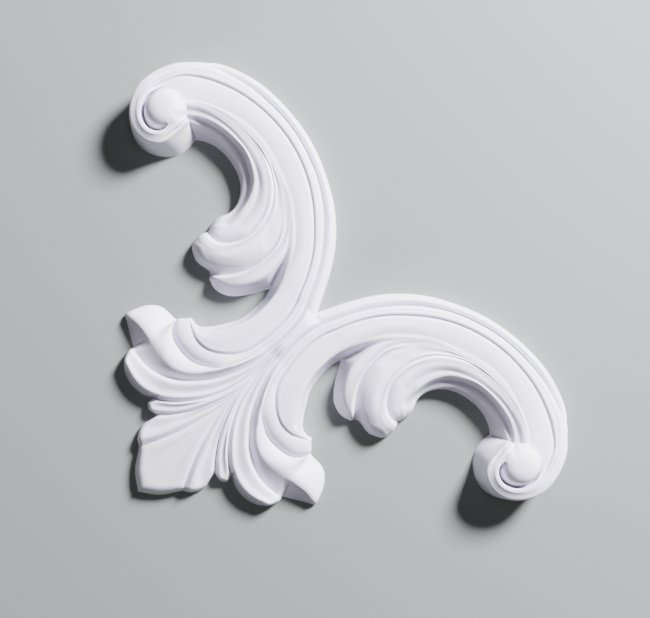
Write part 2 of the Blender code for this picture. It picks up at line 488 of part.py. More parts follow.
def build_piece(name, collection):
    bm = bmesh.new()
    for block in (ribbon, tip, flank, leaf, ribs, side, web, eye):
        add_block(bm, block)
    scale = (SPAN / DRAWN_SPAN, SPAN / DRAWN_SPAN, RELIEF / DRAWN_RELIEF)
    bmesh.ops.scale(bm, vec=scale, verts=bm.verts)
    bmesh.ops.remove_doubles(bm, verts=bm.verts, dist=WELD)
    close_back(bm)
    mesh = bpy.data.meshes.new(name)
    bm.to_mesh(mesh)
    bm.free()
    mesh.shade_smooth()
    mesh.set_sharp_from_angle(angle=math.radians(SHARP_DEGREES))
    piece = bpy.data.objects.new(name, mesh)
    collection.objects.link(piece)
    mirror = piece.modifiers.new("other_arm", "MIRROR")
    mirror.merge_threshold = WELD
    return piece


for old in list(bpy.data.objects):
    bpy.data.objects.remove(old, do_unlink=True)
collection = bpy.data.collections.new("moulding_corner_piece")
bpy.context.scene.collection.children.link(collection)

corner = build_piece("corner_moulding", collection)
# The back stands against the wall, and each arm runs along one side of the corner
corner.rotation_mode = "ZYX"
corner.rotation_euler = (math.radians(90.0), 0.0, math.radians(-45.0))

plaster = bpy.data.materials.new("white_primer")
plaster.use_nodes = True
shader = plaster.node_tree.nodes["Principled BSDF"]
shader.inputs["Base Color"].default_value = PLASTER_WHITE
shader.inputs["Roughness"].default_value = ROUGHNESS
shader.inputs["Metallic"].default_value = 0.0
corner.data.materials.append(plaster)
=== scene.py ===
import math

import bmesh
import bpy
import numpy as np
from mathutils import Matrix, Vector


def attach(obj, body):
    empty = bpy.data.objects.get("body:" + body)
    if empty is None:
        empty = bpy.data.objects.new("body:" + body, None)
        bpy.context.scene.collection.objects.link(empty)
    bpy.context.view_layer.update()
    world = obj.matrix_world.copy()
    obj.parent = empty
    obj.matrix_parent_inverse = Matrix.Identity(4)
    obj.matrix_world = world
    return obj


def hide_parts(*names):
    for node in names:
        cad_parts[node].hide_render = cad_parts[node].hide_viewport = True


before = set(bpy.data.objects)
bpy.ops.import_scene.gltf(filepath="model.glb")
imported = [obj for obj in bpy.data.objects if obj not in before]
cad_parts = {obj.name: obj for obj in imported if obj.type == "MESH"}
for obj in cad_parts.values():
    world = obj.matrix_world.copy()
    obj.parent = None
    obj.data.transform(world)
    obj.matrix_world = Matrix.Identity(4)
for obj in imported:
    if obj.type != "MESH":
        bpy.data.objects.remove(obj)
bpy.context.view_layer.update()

# camera as in the photo: almost square on, standing a little low on the line of symmetry
photoView = {
    "distance": 0.604,
    "place": (-0.01272, -0.01556),  # across and up
    "tilt": math.atan(105 / 903),  # off square, towards the crotch between the arms
    "lens": 50.01,
    "filmWidth": 36,
    "nearest": 0.01,
}


def addCamera():
    lean, level = math.sin(photoView["tilt"]), math.cos(photoView["tilt"])
    half = math.sqrt(0.5)
    right = Vector(((level + 1) / 2, -lean * half, (level - 1) / 2))
    up = Vector(((level - 1) / 2, -lean * half, (level + 1) / 2))
    ahead = Vector((lean * half, level, lean * half))
    data = bpy.data.cameras.new("photoCamera")
    data.lens = photoView["lens"]
    data.sensor_width = photoView["filmWidth"]
    data.clip_start = photoView["nearest"]
    camera = bpy.data.objects.new("photoCamera", data)
    across, height = photoView["place"]
    camera.matrix_world = Matrix((
        (right.x, up.x, -ahead.x, across),
        (right.y, up.y, -ahead.y, -photoView["distance"]),
        (right.z, up.z, -ahead.z, height),
        (0, 0, 0, 1),
    ))
    bpy.context.scene.collection.objects.link(camera)
    bpy.context.scene.camera = camera


addCamera()
print("camera set")

# rows of the carving between one key line and the next, and how the half is scaled to the real piece
cornerPiece = {
    "scrollRows": 84, "armRows": 72, "neckRows": 8, "throatRows": 14, "fanRows": 48, "frondRows": 30,
    "tipRows": 30, "lobeRows": 44,
    "closingRows": 9,  # of those, how many round off a free end
    "divesAt": 0.65,  # share of the scroll's rows after which the broad band drops beside the eye
    "opensAt": 0.8,  # share of the arm's rows after which the side leaf stands clear of the band
    "lipsGrow": 20,  # the groove's lips are at full height this many rows before the arm
    "bandSettles": 14,  # the bands leave the ring's smooth top this many rows before the arm
    "cornerRows": 9,  # rows joined in the corner between the scroll and the arm's inner side
    "eyeRings": 18,
    "samplesPerSpan": 24,  # of a line, between two of its guide points
    "metresPerUnit": 0.001,  # one half is drawn in millimetres
    "weld": 0.004,  # in millimetres
    "flatWithin": 0.01,  # how close to the back or the line of symmetry counts as on it
    "sharpDegrees": 58,
}
flowRows = [cornerPiece[name + "Rows"] for name in ("scroll", "arm", "neck", "throat", "fan", "frond")]
scrollEnd, armStart, crotchRow, apexRow, slitRow, fanFoot, notchRow = [
    sum(flowRows[:i]) for i in range(len(flowRows) + 1)]
lobeRows = cornerPiece["lobeRows"]
closingRows = cornerPiece["closingRows"]
diveRow = int(cornerPiece["scrollRows"] * cornerPiece["divesAt"])
settlingRow = armStart - cornerPiece["bandSettles"]
lipRow = armStart - cornerPiece["lipsGrow"]
tiny = 1e-6  # keeps a division by a length from failing where there is none


def slopesAt(points):
    gaps = np.linalg.norm(np.diff(points[..., :2], axis=0), axis=-1)[..., None] + tiny
    steps = np.diff(points, axis=0) / gaps
    tangents = np.empty_like(points)
    tangents[1:-1] = (steps[:-1] * gaps[1:] + steps[1:] * gaps[:-1]) / (gaps[:-1] + gaps[1:])
    tangents[0] = steps[0]
    tangents[-1] = steps[-1]
    return gaps, tangents


def easeBetween(a, b, slopeA, slopeB, gap, t):
    return (a * (1 - 3 * t**2 + 2 * t**3) + b * (3 * t**2 - 2 * t**3)
            + gap * (slopeA * (t - 2 * t**2 + t**3) + slopeB * (t**3 - t**2)))


def walkGuide(guide):
    # a dense smooth curve through the guide points
    samples = cornerPiece["samplesPerSpan"]
    guide = np.array(guide, dtype=float)
    gaps, tangents = slopesAt(guide)
    shares = np.arange(samples)[:, None] / samples
    dense = [easeBetween(guide[i], guide[i + 1], tangents[i], tangents[i + 1], gaps[i], shares)
             for i in range(len(guide) - 1)]
    return np.concatenate(dense + [guide[-1:]]), [i * samples for i in range(len(guide))]


def rowSpacing(rows, length, zone):
    # even rows, and closer ones in the zone at the end
    if not zone:
        return np.linspace(0, length, rows + 1)
    even = np.linspace(0, length - zone, rows - closingRows + 1)
    closing = np.sin(np.arange(1, closingRows + 1) / closingRows * math.pi / 2)
    return np.concatenate([even, length - zone + zone * closing])


def flowLine(stretches, rows, zones=None, falls=(), turns=()):
    # each stretch starts at the end of the one before; zones: length of its closing rows;
    # falls: stretches whose closing rows drop to the back; turns: stretches with a sharp turn after them
    zones = zones or {}
    placed = []
    run, ends = [], []
    for index, stretch in enumerate(stretches):
        run.extend(stretch)
        ends.append((index, len(run) - 1))
        if index not in turns and index < len(stretches) - 1:
            continue
        dense, marks = walkGuide(run)
        travelled = np.concatenate([[0], np.cumsum(np.linalg.norm(np.diff(dense[:, :2], axis=0), axis=1))])
        start = 0
        for which, last in ends:
            length = travelled[marks[last]] - start
            along = rowSpacing(rows[which], length, zones.get(which))
            points = np.stack([np.interp(start + along, travelled, axis) for axis in dense.T], axis=1)
            if which in falls:
                left = np.clip((length - along) / zones[which], 0, 1)
                points[:, 2] *= np.sqrt(np.maximum(0, 1 - (1 - left) ** 2))
            placed.append(points[1:] if placed else points)
            start += length
        run, ends = [run[-1]], []
    return np.concatenate(placed)


def onBack(points):
    return [(x, y, 0) for x, y in points]


def valuesAlong(given, keys, count):
    # one number, or one at each key row
    if isinstance(given, (int, float)):
        return np.full(count, float(given))
    return np.interp(np.arange(count), keys, given)


def lineBetween(first, second, share, fullness, rises):
    # lifted towards the higher of the two by its fullness, and then by its rise, both given
    # as (row, value)
    rows = np.arange(len(first))
    line = first * (1 - share) + second * share
    line[:, 2] += np.interp(rows, *zip(*fullness)) * (np.maximum(first[:, 2], second[:, 2]) - line[:, 2])
    line[:, 2] += np.interp(rows, *zip(*rises))
    return line


closingFall = np.sin(np.arange(closingRows - 1, -1, -1) / closingRows * math.pi / 2)


def lipOf(groove, neighbour, width, rises, widest=0.45):
    # the lip of a narrow groove: a fixed way towards the next line, where there is room
    gap = np.linalg.norm((neighbour - groove)[:, :2], axis=1) + tiny
    share = np.minimum(width / gap, widest)
    rise = np.interp(np.arange(len(groove)), *zip(*rises))
    rise[-closingRows:] *= closingFall
    lip = groove + (neighbour - groove) * share[:, None]
    lip[:, 2] += rise * np.minimum(1, share * gap / width)
    return lip


def carve(table, keys, closing=False, through=()):
    # a sheet across the lines. Each entry of the table is (line, crease, steps, bulge) up to the
    # next line; crease 0 runs smoothly over the line and 1 folds at it. Crease and bulge may change
    # from key row to key row. A closing sheet's bulges fall to nothing at its end, but for the
    # entries that run through
    lines = np.stack([entry[0] for entry in table])
    count = lines.shape[1]
    gaps, tangents = slopesAt(lines)
    widths = gaps[..., 0]
    rises = np.diff(lines[..., 2], axis=0) / widths
    smooth = np.zeros(lines.shape[:2])
    product = rises[:-1] * rises[1:]
    smooth[1:-1] = np.where(product > 0, 2 * product / np.where(product > 0, rises[:-1] + rises[1:], 1), 0)
    creases = np.stack([valuesAlong(entry[1], keys, count) for entry in table])
    across = [lines[0]]
    for i, (line, crease, steps, bulge) in enumerate(table[:-1]):
        lift = valuesAlong(bulge, keys, count)
        if closing and i not in through:
            lift[-closingRows:] *= closingFall
        puff = 4 * lift / widths[i]
        leave = creases[i] * (rises[i] + puff) + (1 - creases[i]) * smooth[i]
        arrive = creases[i + 1] * (rises[i] - puff) + (1 - creases[i + 1]) * smooth[i + 1]
        softLift = lift * (1 - creases[i]) * (1 - creases[i + 1])
        for k in range(1, steps):
            t = k / steps
            points = easeBetween(lines[i], lines[i + 1], tangents[i], tangents[i + 1], gaps[i], t)
            points[:, 2] = (easeBetween(lines[i][:, 2], lines[i + 1][:, 2], leave, arrive, widths[i], t)
                            + softLift * 16 * t**2 * (1 - t) ** 2)
            points[:, 2] = np.maximum(points[:, 2], 0)
            across.append(points)
        across.append(lines[i + 1])
    return np.stack(across, axis=1)


def meet(sheet, border):
    # the sheet's first row goes exactly onto the border, and the difference fades along it
    fading = (1 - np.arange(len(sheet)) / (len(sheet) - 1)) ** 2
    return sheet + (border - sheet[0]) * fading[:, None, None]


scroll = {
    "eye": (163.3, 66.3),
    "eyeTop": (164.0, 66.0),
    "eyeHeight": 29.5,
    "eyeBall": 16.0,  # its radius
    "eyeFullness": 2.4,  # 2 is a ball, more is flatter on top
    # by bearing: how tightly the eye's foot draws in, 1 wide to 16 tight
    "footSpread": [(-172, 3), (-156, 9), (-140, 16), (20, 16), (60, 10), (150, 9), (168, 3)],
    "corner": (149.0, 72.8, 15.0),  # where the scroll's rim meets the arm's inner side
    "cornerFoot": (140.6, 69.2, 0.0),
    "rim": [(-195, 15.5, 17.6), (-178, 15.5, 18.7), (-157, 16.8, 19.8), (-140, 19.6, 20.4),
            (-126, 22.3, 20.7), (-110, 24.0, 20.7), (-90, 24.9, 20.7), (-69, 24.5, 20.7), (-45, 23.6, 20.7),
            (-23, 23.4, 20.8), (0, 24.4, 20.9), (24, 26.1, 20.9), (41, 28.8, 20.7), (60, 33.6, 19.9),
            (71, 36.9, 18.6), (78, 40.6, 16.8), (83, 43.4, 15)],
    "rimRounding": 2.3,
    "rimDrop": 1.3,  # how far the rounding falls
    "rimSquareness": 6,  # 2 is a round fall, more is later and steeper
    "smoothRows": (50, 76),  # its top is smooth up to the first, and has the arm's grooves from the second
    "foot": [(-170, 24.0), (-151, 25.4), (-138, 25.9), (-126, 26.2), (-112, 26.7), (-97, 26.8), (-75, 26.3),
             (-50, 25.3), (-23, 24.7), (0, 25.4), (24, 27.2), (41, 29.96), (60, 34.86), (71, 38.2),
             (78, 41.7), (83, 44.6)],
    "sideDraft": 0.97,
}


def roundEye(turns):
    # guide points from (degrees, radius, height) round the eye
    return [(scroll["eye"][0] + r * math.cos(math.radians(a)),
             scroll["eye"][1] + r * math.sin(math.radians(a)), z)
            for a, r, z in turns]


corner = scroll["corner"]

# the broad band's inner edge: round the eye, along the arm and down the throat into the cuff
bandEdge = flowLine([
    [corner, *roundEye([(-200, 13.2, 21.3), (-192, 12.2, 23.6), (-175, 11.4, 25.2), (-155, 11.2, 25.4),
                        (-141, 11.6, 24.8), (-136, 12, 22), (-131, 12.5, 18.2), (-124, 13.2, 16.2),
                        (-110, 14.4, 15.6), (-93, 15.2, 15.5), (-75, 15.2, 15.7), (-57, 14.8, 16),
                        (-37, 14.3, 16.6), (-17, 13.8, 17.8), (4, 13.5, 19.6), (22, 13.4, 21),
                        (43, 13.9, 21.7), (61, 14.2, 21.8), (83, 13.7, 21.8)]),
     (160.9, 79.4, 21.8)],
    [(153.3, 86.9, 20.2), (140, 93.7, 18.9), (127.5, 98, 18.3), (114, 99.8, 18), (100.5, 98.4, 17.8),
     (88, 94.8, 17.7), (75, 89.8, 17.6), (63.5, 84, 17.6), (51.5, 75, 17.4), (43, 66.5, 17.2),
     (38.5, 60, 17), (35, 53, 16.8), (32.5, 46, 16.5)],
    [(30, 39.5, 16.2), (28.1, 33.3, 16)],
    [(26.9, 26.7, 15.8), (26.5, 19.5, 15.6), (27, 12, 15.4), (28.8, 4.5, 15.2)],
    [(31.3, -1.5, 15), (33.7, -6.5, 14.7), (36.5, -11.3, 14.3)],
    [(41, -16.8, 12.5), (46, -20.2, 10.5), (50.5, -20.3, 9), (53, -17.8, 7)],
], flowRows, zones={5: 3.0}, falls=(5,), turns=(0,))

# the narrow groove between the broad band and the next one
bandGroove = flowLine([
    [corner, *roundEye([(-200, 13.7, 20.8), (-192, 13.0, 22.9), (-175, 13.1, 23.9), (-160, 13.8, 23.7),
                        (-140, 15.6, 23.8), (-127, 17.1, 24.1), (-110, 18.7, 24.6), (-95, 19.4, 24.6),
                        (-80, 19.2, 24.6), (-60, 18.5, 24.6), (-45, 18, 24.5), (-25, 17.6, 24.4),
                        (-8, 17.3, 24.2), (8, 17.3, 23.8), (21, 17.3, 22.8), (33, 18.3, 22), (52, 21, 21),
                        (66, 24.9, 20)]),
     (163.9, 97.9, 19.2)],
    [(152.3, 104.8, 18), (135, 110.8, 17.2), (118, 113, 16.9), (100, 112.2, 16.8), (80, 107.2, 16.8),
     (60, 97.3, 16.7), (45, 85.5, 16.6), (30, 69.3, 16.3), (20, 52, 15.8), (16.8, 44, 15.5)],
    [(14.4, 38.5, 14.9), (12.6, 33, 14.7)],
    [(11.3, 25, 14.4), (11, 17, 14.2), (11.4, 10.5, 14), (12.2, 4.5, 13.8)],
    [(13.4, -1.5, 13.7), (15.3, -7.8, 13.6), (18.7, -13.8, 13.5), (23.3, -18.5, 13.4), (28.6, -22.5, 13.2),
     (33.6, -24.8, 13)],
    [(39.1, -25.7, 12.5), (44.9, -25, 11.6), (49.7, -22.7, 10.4), (53.8, -20.2, 9.1), (56.7, -17.2, 8)],
], flowRows, zones={5: 3.0}, falls=(5,))

# the soft deep groove inside the bead, which opens into the valley above the outer frond
deepGroove = flowLine([
    [corner, *roundEye([(a, r - scroll["rimRounding"] * min(1, (a + 200) / 40),
                         z + scroll["rimDrop"])
                        for a, r, z in scroll["rim"][:-1]]), (164.8, 109.8, 14.6)],
    [(151.7, 115.4, 12.6), (136.8, 119.3, 11.4), (120.5, 120.7, 11), (101, 119.8, 10.9), (80.8, 115, 10.9),
     (60.7, 106.3, 10.9), (45.7, 95.9, 11), (30.7, 80.5, 11), (20.6, 66.5, 11.1), (13.6, 53.3, 11.3),
     (9.3, 43.6, 11.5)],
    [(7, 38.5, 11.7), (5.5, 33, 11.9)],
    [(4.4, 25, 12.1), (4.1, 17, 12.3), (4.4, 10, 12.4), (4.9, 4, 12.4)],
    [(5.9, -6, 12.4), (8, -15.7, 12.3), (10.5, -22.3, 12), (13.5, -28.4, 11.6), (16.9, -34.1, 11.3),
     (20.8, -39.4, 11), (25, -44.2, 10.2), (29.5, -48.8, 9.4), (34.7, -52.7, 8.6), (40.6, -55.9, 7.8)],
    [(47.2, -58.3, 7), (55, -59.7, 6.3), (63.4, -59, 5.6), (69.3, -57.9, 5)],
], flowRows, zones={4: 18.0, 5: 4.0}, falls=(5,))

# the rim: round the drum, along the arm, down the line of symmetry, then the valley to the outer frond
rim = flowLine([
    [corner, *roundEye(scroll["rim"]), (166.6, 112.6, 12.5)],
    [(161, 117, 10.5), (151.8, 121.5, 9.3), (136.6, 126, 9), (119.4, 127.3, 9), (101.3, 126.2, 9),
     (81.1, 121.9, 9), (60.8, 113.5, 9), (45.6, 104.9, 9), (31, 93, 9), (21, 81.4, 9), (14.4, 71.2, 9),
     (8.8, 61.1, 9), (4, 51, 9), (0, 43, 9)],
    [(0, 38.5, 13.2), (0, 34, 15.5)],
    [(0, 20, 16.1), (0, 9, 15.9), (0, 4, 14.4)],
    [(1, -4, 13.4), (2.1, -12, 12.9), (3.4, -20.2, 12.6), (4.8, -28, 12.4), (6.6, -35.3, 12.1),
     (9.6, -42.3, 11.7), (13, -48.9, 11.3), (17.1, -54.7, 10.3), (21.6, -60.1, 9.2), (26.6, -65.1, 7.9),
     (31.6, -69.1, 6.5), (35.7, -71.4, 5.5)],
    onBack([(41, -74.3), (46.5, -75.6), (52, -75.8), (57.5, -74.8), (62, -72.8), (65.8, -69.8)]),
], flowRows, zones={4: 3.5, 5: 6.0}, falls=(4,), turns=(0, 1, 2, 3, 4))
rim[fanFoot:, 2] = 0

toSlit = slice(scrollEnd, slitRow + 1)


def springFrom(alongArm, fan, frond, zones, falls=()):
    # goes its own way through the palmette after it has followed others along the arm
    spring = flowLine([[tuple(alongArm[-1]), *fan], frond], flowRows[4:6], zones, falls)
    return np.concatenate([alongArm, spring[1:]])


cuffEdge = springFrom(
    lineBetween(bandGroove[toSlit], deepGroove[toSlit], 0.32,
                [(scrollEnd, 0.3), (armStart - 6, 0.3), (armStart, 1.0)],
                [(diveRow, 0.0), (settlingRow, 1.0), (armStart, 1.2), (slitRow, 1.4)]),
    [(9.6, -4, 15.1), (11.7, -12, 15), (15.6, -20.5, 14.9), (20.5, -28.6, 13.6), (23.1, -30.7, 12.2),
     (27, -33.2, 10.5), (31.8, -35.7, 9.5), (36.9, -37.1, 8.9)],
    [(42.6, -37.3, 8.3), (49.3, -36.6, 7.8), (54.8, -34.8, 7.3), (58.9, -31.5, 6.6), (61.2, -28.3, 6),
     (62.6, -25, 5)],
    {1: 2.5}, (1,))
upperRidge = springFrom(
    lineBetween(bandGroove[toSlit], deepGroove[toSlit], 0.76,
                [(scrollEnd, 0.3), (armStart - 6, 0.3), (armStart, 0.8)],
                [(scrollEnd, 0.0), (armStart, 0.6), (slitRow, 0.8)]),
    [(7.1, -3, 15.2), (8.4, -8.8, 15.2), (10.7, -14.8, 15.1), (12.8, -20, 15), (16.2, -25.7, 14.8),
     (19.6, -31.4, 14.6), (23.5, -36.6, 14.4), (27.8, -41.3, 14.1), (32.8, -45.4, 13.8), (38.9, -48.3, 13.4)],
    [(45.8, -48.8, 13), (55.1, -47.2, 12.4), (65.2, -45.4, 11.4)],
    {0: 14.0})

settledRow = armStart + cornerPiece["armRows"] // 4
bead = {"rise": 2.9, "share": 0.42}
beadCrest = springFrom(
    lineBetween(deepGroove[toSlit], rim[toSlit], bead["share"], [(armStart - 12, 0.45), (armStart, 1.0)],
                [(armStart, 0.0), (settledRow, bead["rise"]), (crotchRow, 2.3), (apexRow, 0.3),
                 (slitRow, 0.9)]),
    [(4, -6, 15.1), (5.7, -13.4, 15), (7.7, -20.5, 14.8), (10.5, -26.8, 14.6), (13.7, -32.7, 14.3),
     (17.3, -38.2, 14), (21.4, -43.1, 13.6), (25.7, -47.9, 13.1), (30.5, -52.2, 12.6), (36, -55.8, 11.9),
     (39, -57.4, 11.5)],
    [(42.1, -58.7, 10.9), (49.4, -60.7, 9.7), (57.5, -61.2, 8.5), (64, -60.7, 7.7), (70, -60.3, 7)],
    {0: 15.0, 1: 4.0}, (1,))
frondGroove = springFrom(
    lineBetween(deepGroove[toSlit], rim[toSlit], 0.7, [(armStart - 12, 0.35), (armStart, 1.0)],
                [(scrollEnd, 0.0), (armStart, -0.2), (settledRow, 1.7), (crotchRow, 1.2), (apexRow, 0.1),
                 (slitRow, 0.0)]),
    [(3, -10, 14.1), (5.4, -20, 13.6), (9, -31, 12.9), (14.5, -42.5, 12.1), (21.5, -51.5, 11.3),
     (29, -58.8, 10.8), (37, -63.5, 10)],
    [(45, -65.6, 9.5), (53, -65.8, 9), (61, -64.8, 8.4), (69.7, -63, 8)],
    {0: 10.0, 1: 4.0}, (1,))
outerRidge = springFrom(
    lineBetween(deepGroove[toSlit], rim[toSlit], 0.87, [(armStart - 12, 0.25), (armStart, 1.0)],
                [(scrollEnd, 0.0), (armStart, -0.5), (settledRow, 0.8), (crotchRow, 0.0), (apexRow, 0.0),
                 (slitRow, 0.3)]),
    [(2.2, -10, 14.5), (4.3, -22, 14.4), (7.8, -33.5, 14), (12.7, -43.5, 13.4), (19, -52.5, 12.6),
     (26.5, -60.5, 11.6), (35, -66.8, 10.6)],
    [(43, -69.8, 10.4), (51, -70.4, 10.2), (58.5, -69, 9.9), (64, -67.2, 9.4), (68.3, -66.6, 9)],
    {0: 6.0, 1: 4.0}, (1,))

lips = {
    "outerWidth": 1.9, "outerRise": 1.0,
    "innerWidth": 2.1, "innerRise": 1.1,
    "cuffWidth": 1.3, "cuffRise": 2.5,
    "leafWidth": 1.3, "leafRise": 0.9,
    "crestRows": (armStart - 24, armStart - 8),  # where the ring's crest turns into the inner lip
}
lipOutside = lipOf(bandGroove, cuffEdge, lips["outerWidth"], [(diveRow, 0.0), (lipRow, lips["outerRise"])])
lipInside = lipOf(bandGroove, bandEdge, lips["innerWidth"], [(diveRow, 0.0), (lipRow, lips["innerRise"])])
# on the ring the inner lip is the rounded crest above the eye's crevice
ringCrest = flowLine([
    [corner, *roundEye([(-200, 13.4, 21.1), (-192, 12.6, 23.3), (-175, 12.3, 24.6), (-160, 12.6, 24.6),
                        (-140, 13.8, 24.6), (-127, 15.3, 24.7), (-110, 16.9, 24.8), (-93, 17.6, 24.8),
                        (-75, 17.2, 24.8), (-57, 16.4, 24.8), (-37, 15.7, 24.8), (-17, 15.1, 24.8),
                        (4, 14.8, 24.3), (22, 15.2, 23.2), (43, 16.6, 22.3), (61, 20.3, 21.6)]),
                        tuple(lipInside[armStart])],
], flowRows[:1])
ringShare = np.interp(np.arange(armStart + 1), lips["crestRows"], (1, 0))[:, None]
lipInside[:armStart + 1] = ringCrest * ringShare + lipInside[:armStart + 1] * (1 - ringShare)
# the cuff's own lip, beside the thin crevice where the broad band turns over the fronds
cuffLip = lipOf(cuffEdge, upperRidge, lips["cuffWidth"], [(slitRow, 0.0), (fanFoot - 20, lips["cuffRise"])])


def smoothRing(line):
    # an even slope from the crest beside the eye to the rim, which is rounded off
    rows = slice(0, armStart + 1)
    own, inner, outer = line[rows], bandGroove[rows], rim[rows]
    toInner = np.linalg.norm((own - inner)[:, :2], axis=1)
    toOuter = np.linalg.norm((outer - own)[:, :2], axis=1)
    share = toInner / (toInner + toOuter + tiny)
    drop = scroll["rimDrop"]
    fall = drop * (1 - np.sqrt(1 - share ** scroll["rimSquareness"]))
    even = inner[:, 2] * (1 - share) + (outer[:, 2] + drop) * share - fall
    own[:, 2] += (even - own[:, 2]) * np.interp(np.arange(armStart + 1), scroll["smoothRows"], (1, 0))


for line in (cuffEdge, cuffLip, upperRidge, deepGroove, beadCrest, frondGroove, outerRidge):
    smoothRing(line)

# the upper frond from the notches to its tip
tipRows = [cornerPiece["tipRows"]]
upperOutline = flowLine([onBack([(62.6, -25), (66, -25.4), (70, -25.3), (74, -25.6), (77.5, -26.9),
                                 (80.3, -29), (83, -32), (85.2, -35.5), (87, -39.5)])], tipRows, {0: 6.0})
tipRidge = flowLine([[tuple(upperRidge[-1]), (73, -44.5, 10), (80, -44.7, 8), (85, -45.8, 6),
                      (88.3, -46.9, 5)]],
                    tipRows, {0: 4.0}, (0,))
lowerOutline = flowLine([onBack([(69.3, -57.9), (74, -55.2), (79, -52.2), (83, -49.9), (86, -48.3)])],
                        tipRows, {0: 4.0})

# beside the band: where the side leaf parts from it, then the throat's outline on the back
parting = flowLine([
    [(160.4, 79.36, 21.8), (155.4, 84.5, 20.7), (149.5, 88.6, 19.8), (140.4, 93, 19), (127.4, 97.1, 18.4),
     (114, 98.8, 18.1), (101, 97.5, 17.9), (88.6, 93.9, 17.8), (75.4, 88.8, 17.6), (66, 83, 17.3),
     (60, 77.6, 17), (54, 72.4, 16.7), (48, 66.4, 16.3), (43.2, 60.2, 15), (39.9, 53, 12), (37.6, 47, 9)],
    [(35.8, 40, 4.5), (33.6, 33.4, 0)],
    onBack([(32.1, 28), (31.5, 20), (31.9, 12), (33.7, 4)]),
    onBack([(36.3, -1), (38.5, -4.6), (40.5, -8)]),
    onBack([(44, -12.7), (47.3, -16.3), (50, -17.9)]),
], flowRows[1:6], zones={4: 3.0}, turns=(1,))

armAndNeck = cornerPiece["armRows"] + cornerPiece["neckRows"]
armCount = armAndNeck + 1
sideLeaf = {
    "closing": 8.5,  # length in which a lobe rounds off
    "firstFlush": (40, 52),  # rows over which the first groove sinks in
    "firstFullness": 1.5,
    "secondFlush": (62, 74),
    "secondFullness": 0.3,
}


def leafLine(alongArm, alongLobe, falls=True):
    return flowLine([alongArm, alongLobe], (armAndNeck, lobeRows), {1: sideLeaf["closing"]},
                    (1,) if falls else ())


innerFoot = leafLine(
    [scroll["cornerFoot"], *onBack([(136, 72.6), (129, 75.4), (120.5, 76.4), (112, 75.4), (104, 73),
                                    (97.5, 69), (92.5, 63.3), (89.7, 57.5), (89, 52.5)])],
    onBack([(89.5, 49.5), (91, 46.3), (92.2, 42.5), (92.2, 38.5)]), falls=False)
innerStep = leafLine(
    [corner, (142.2, 76.6, 12.5), (135, 79.6, 11.3), (127.8, 80.8, 10.8), (118, 80.4, 10.5),
     (108.2, 77.5, 10.3), (99, 72.7, 9.8), (93.2, 66.5, 8.8), (89.6, 60, 7.5), (88, 53.5, 6.5)],
    [(88.2, 49, 6.5), (89.2, 45.5, 7), (90.2, 41.5, 7), (92, 36.6, 6)])
flankTop = leafLine(
    [(152.6, 74.8, 18.6), (145.7, 80, 17.2), (139.3, 83.1, 16.8), (130.5, 85.4, 16.5), (120.3, 86.3, 16.5),
     (108.9, 85.4, 16.3), (98.8, 81.2, 16), (90.6, 75.5, 15.7), (86.1, 69.2, 15.4), (83.3, 62, 15),
     (82.3, 55, 14.3)],
    [(82.4, 50, 12.8), (83.5, 44.3, 10.9), (87.2, 40.1, 9.8), (91.6, 35.4, 8.5)])
lobeGroove = leafLine(
    [(154.5, 76.6, 19.4), (149.4, 80.9, 18.3), (140.6, 85.2, 17.2), (130, 87.7, 16.6), (118.5, 87.7, 16.3),
     (110, 86.7, 16.1), (102.4, 84.7, 16), (93.9, 81, 15.8), (86.9, 75.9, 15.6), (82.4, 70.5, 15.4),
     (79, 64, 15.1), (77.2, 57, 14.8), (76.9, 53.5, 14.7)],
    [(76.6, 50.5, 14.6), (77.5, 46, 14.6), (79.3, 42.5, 14.2), (82.5, 38.5, 13), (90.9, 33.3, 9.5)])
firstValley = leafLine(
    [(156.3, 78, 21.1), (152.3, 82.2, 19.9), (146, 86.2, 19.1), (140, 88.3, 18.6), (133, 89.9, 18.3),
     (126, 90.9, 18.2), (117, 91.6, 18.2), (108, 91.5, 18.2), (100, 90.3, 18.2), (92.5, 87, 18.1),
     (84.8, 81.8, 17.9), (77.8, 75.6, 17.6), (72.6, 69, 17.3), (69.4, 62, 17), (68.3, 54, 16.6)],
    [(67.8, 46, 16), (70.5, 39.5, 14), (75, 33.5, 12), (80.5, 30, 10.5), (85.5, 29.6, 9.3), (90, 31.2, 8)])
firstCrest = leafLine(
    [(157, 78.5, 21.2), (153.2, 82.7, 20.4), (147.3, 86.6, 19.6), (141.3, 89.1, 19.2), (134.2, 90.9, 18.9),
     (126.7, 92.1, 18.7), (117.8, 92.9, 18.5), (108.8, 93, 18.4), (100.4, 91.7, 18.4), (95, 89.8, 18.5),
     (89.3, 87.2, 18.4), (82.3, 83, 18.3), (76.6, 77.9, 18.1), (72.4, 72.1, 18), (69.2, 65.5, 17.8),
     (67.1, 59, 17.6), (66.4, 54, 17.5)],
    [(66.1, 48.8, 17.2), (67.3, 42.6, 16.7), (69.9, 37, 16), (73.6, 31.6, 15.4), (79, 28, 14.6),
     (86, 26.8, 13.2), (91.5, 28, 11)])
firstGroove = leafLine(
    [(157.6, 79, 21.4), (154.1, 83.2, 20.4), (148.6, 86.9, 19.5), (142.4, 89.8, 18.95), (135.2, 91.9, 18.6),
     (127, 93.2, 18.4), (118.3, 94, 18.2), (109.3, 94.2, 18.2), (100.6, 93, 18.1), (96.4, 91.8, 17.7),
     (90.3, 89.5, 17), (83, 85.3, 16.6), (76.6, 80.4, 16.3), (71.9, 74.9, 16.1), (68.6, 68.8, 16),
     (65.9, 62, 16), (64.6, 55, 16.2)],
    [(64.4, 48.9, 16.3), (65.6, 41.9, 16.2), (68.3, 35.4, 15.6), (72.8, 28.6, 15), (79.7, 24, 14.3),
     (86, 22.9, 13), (92, 24, 11)])
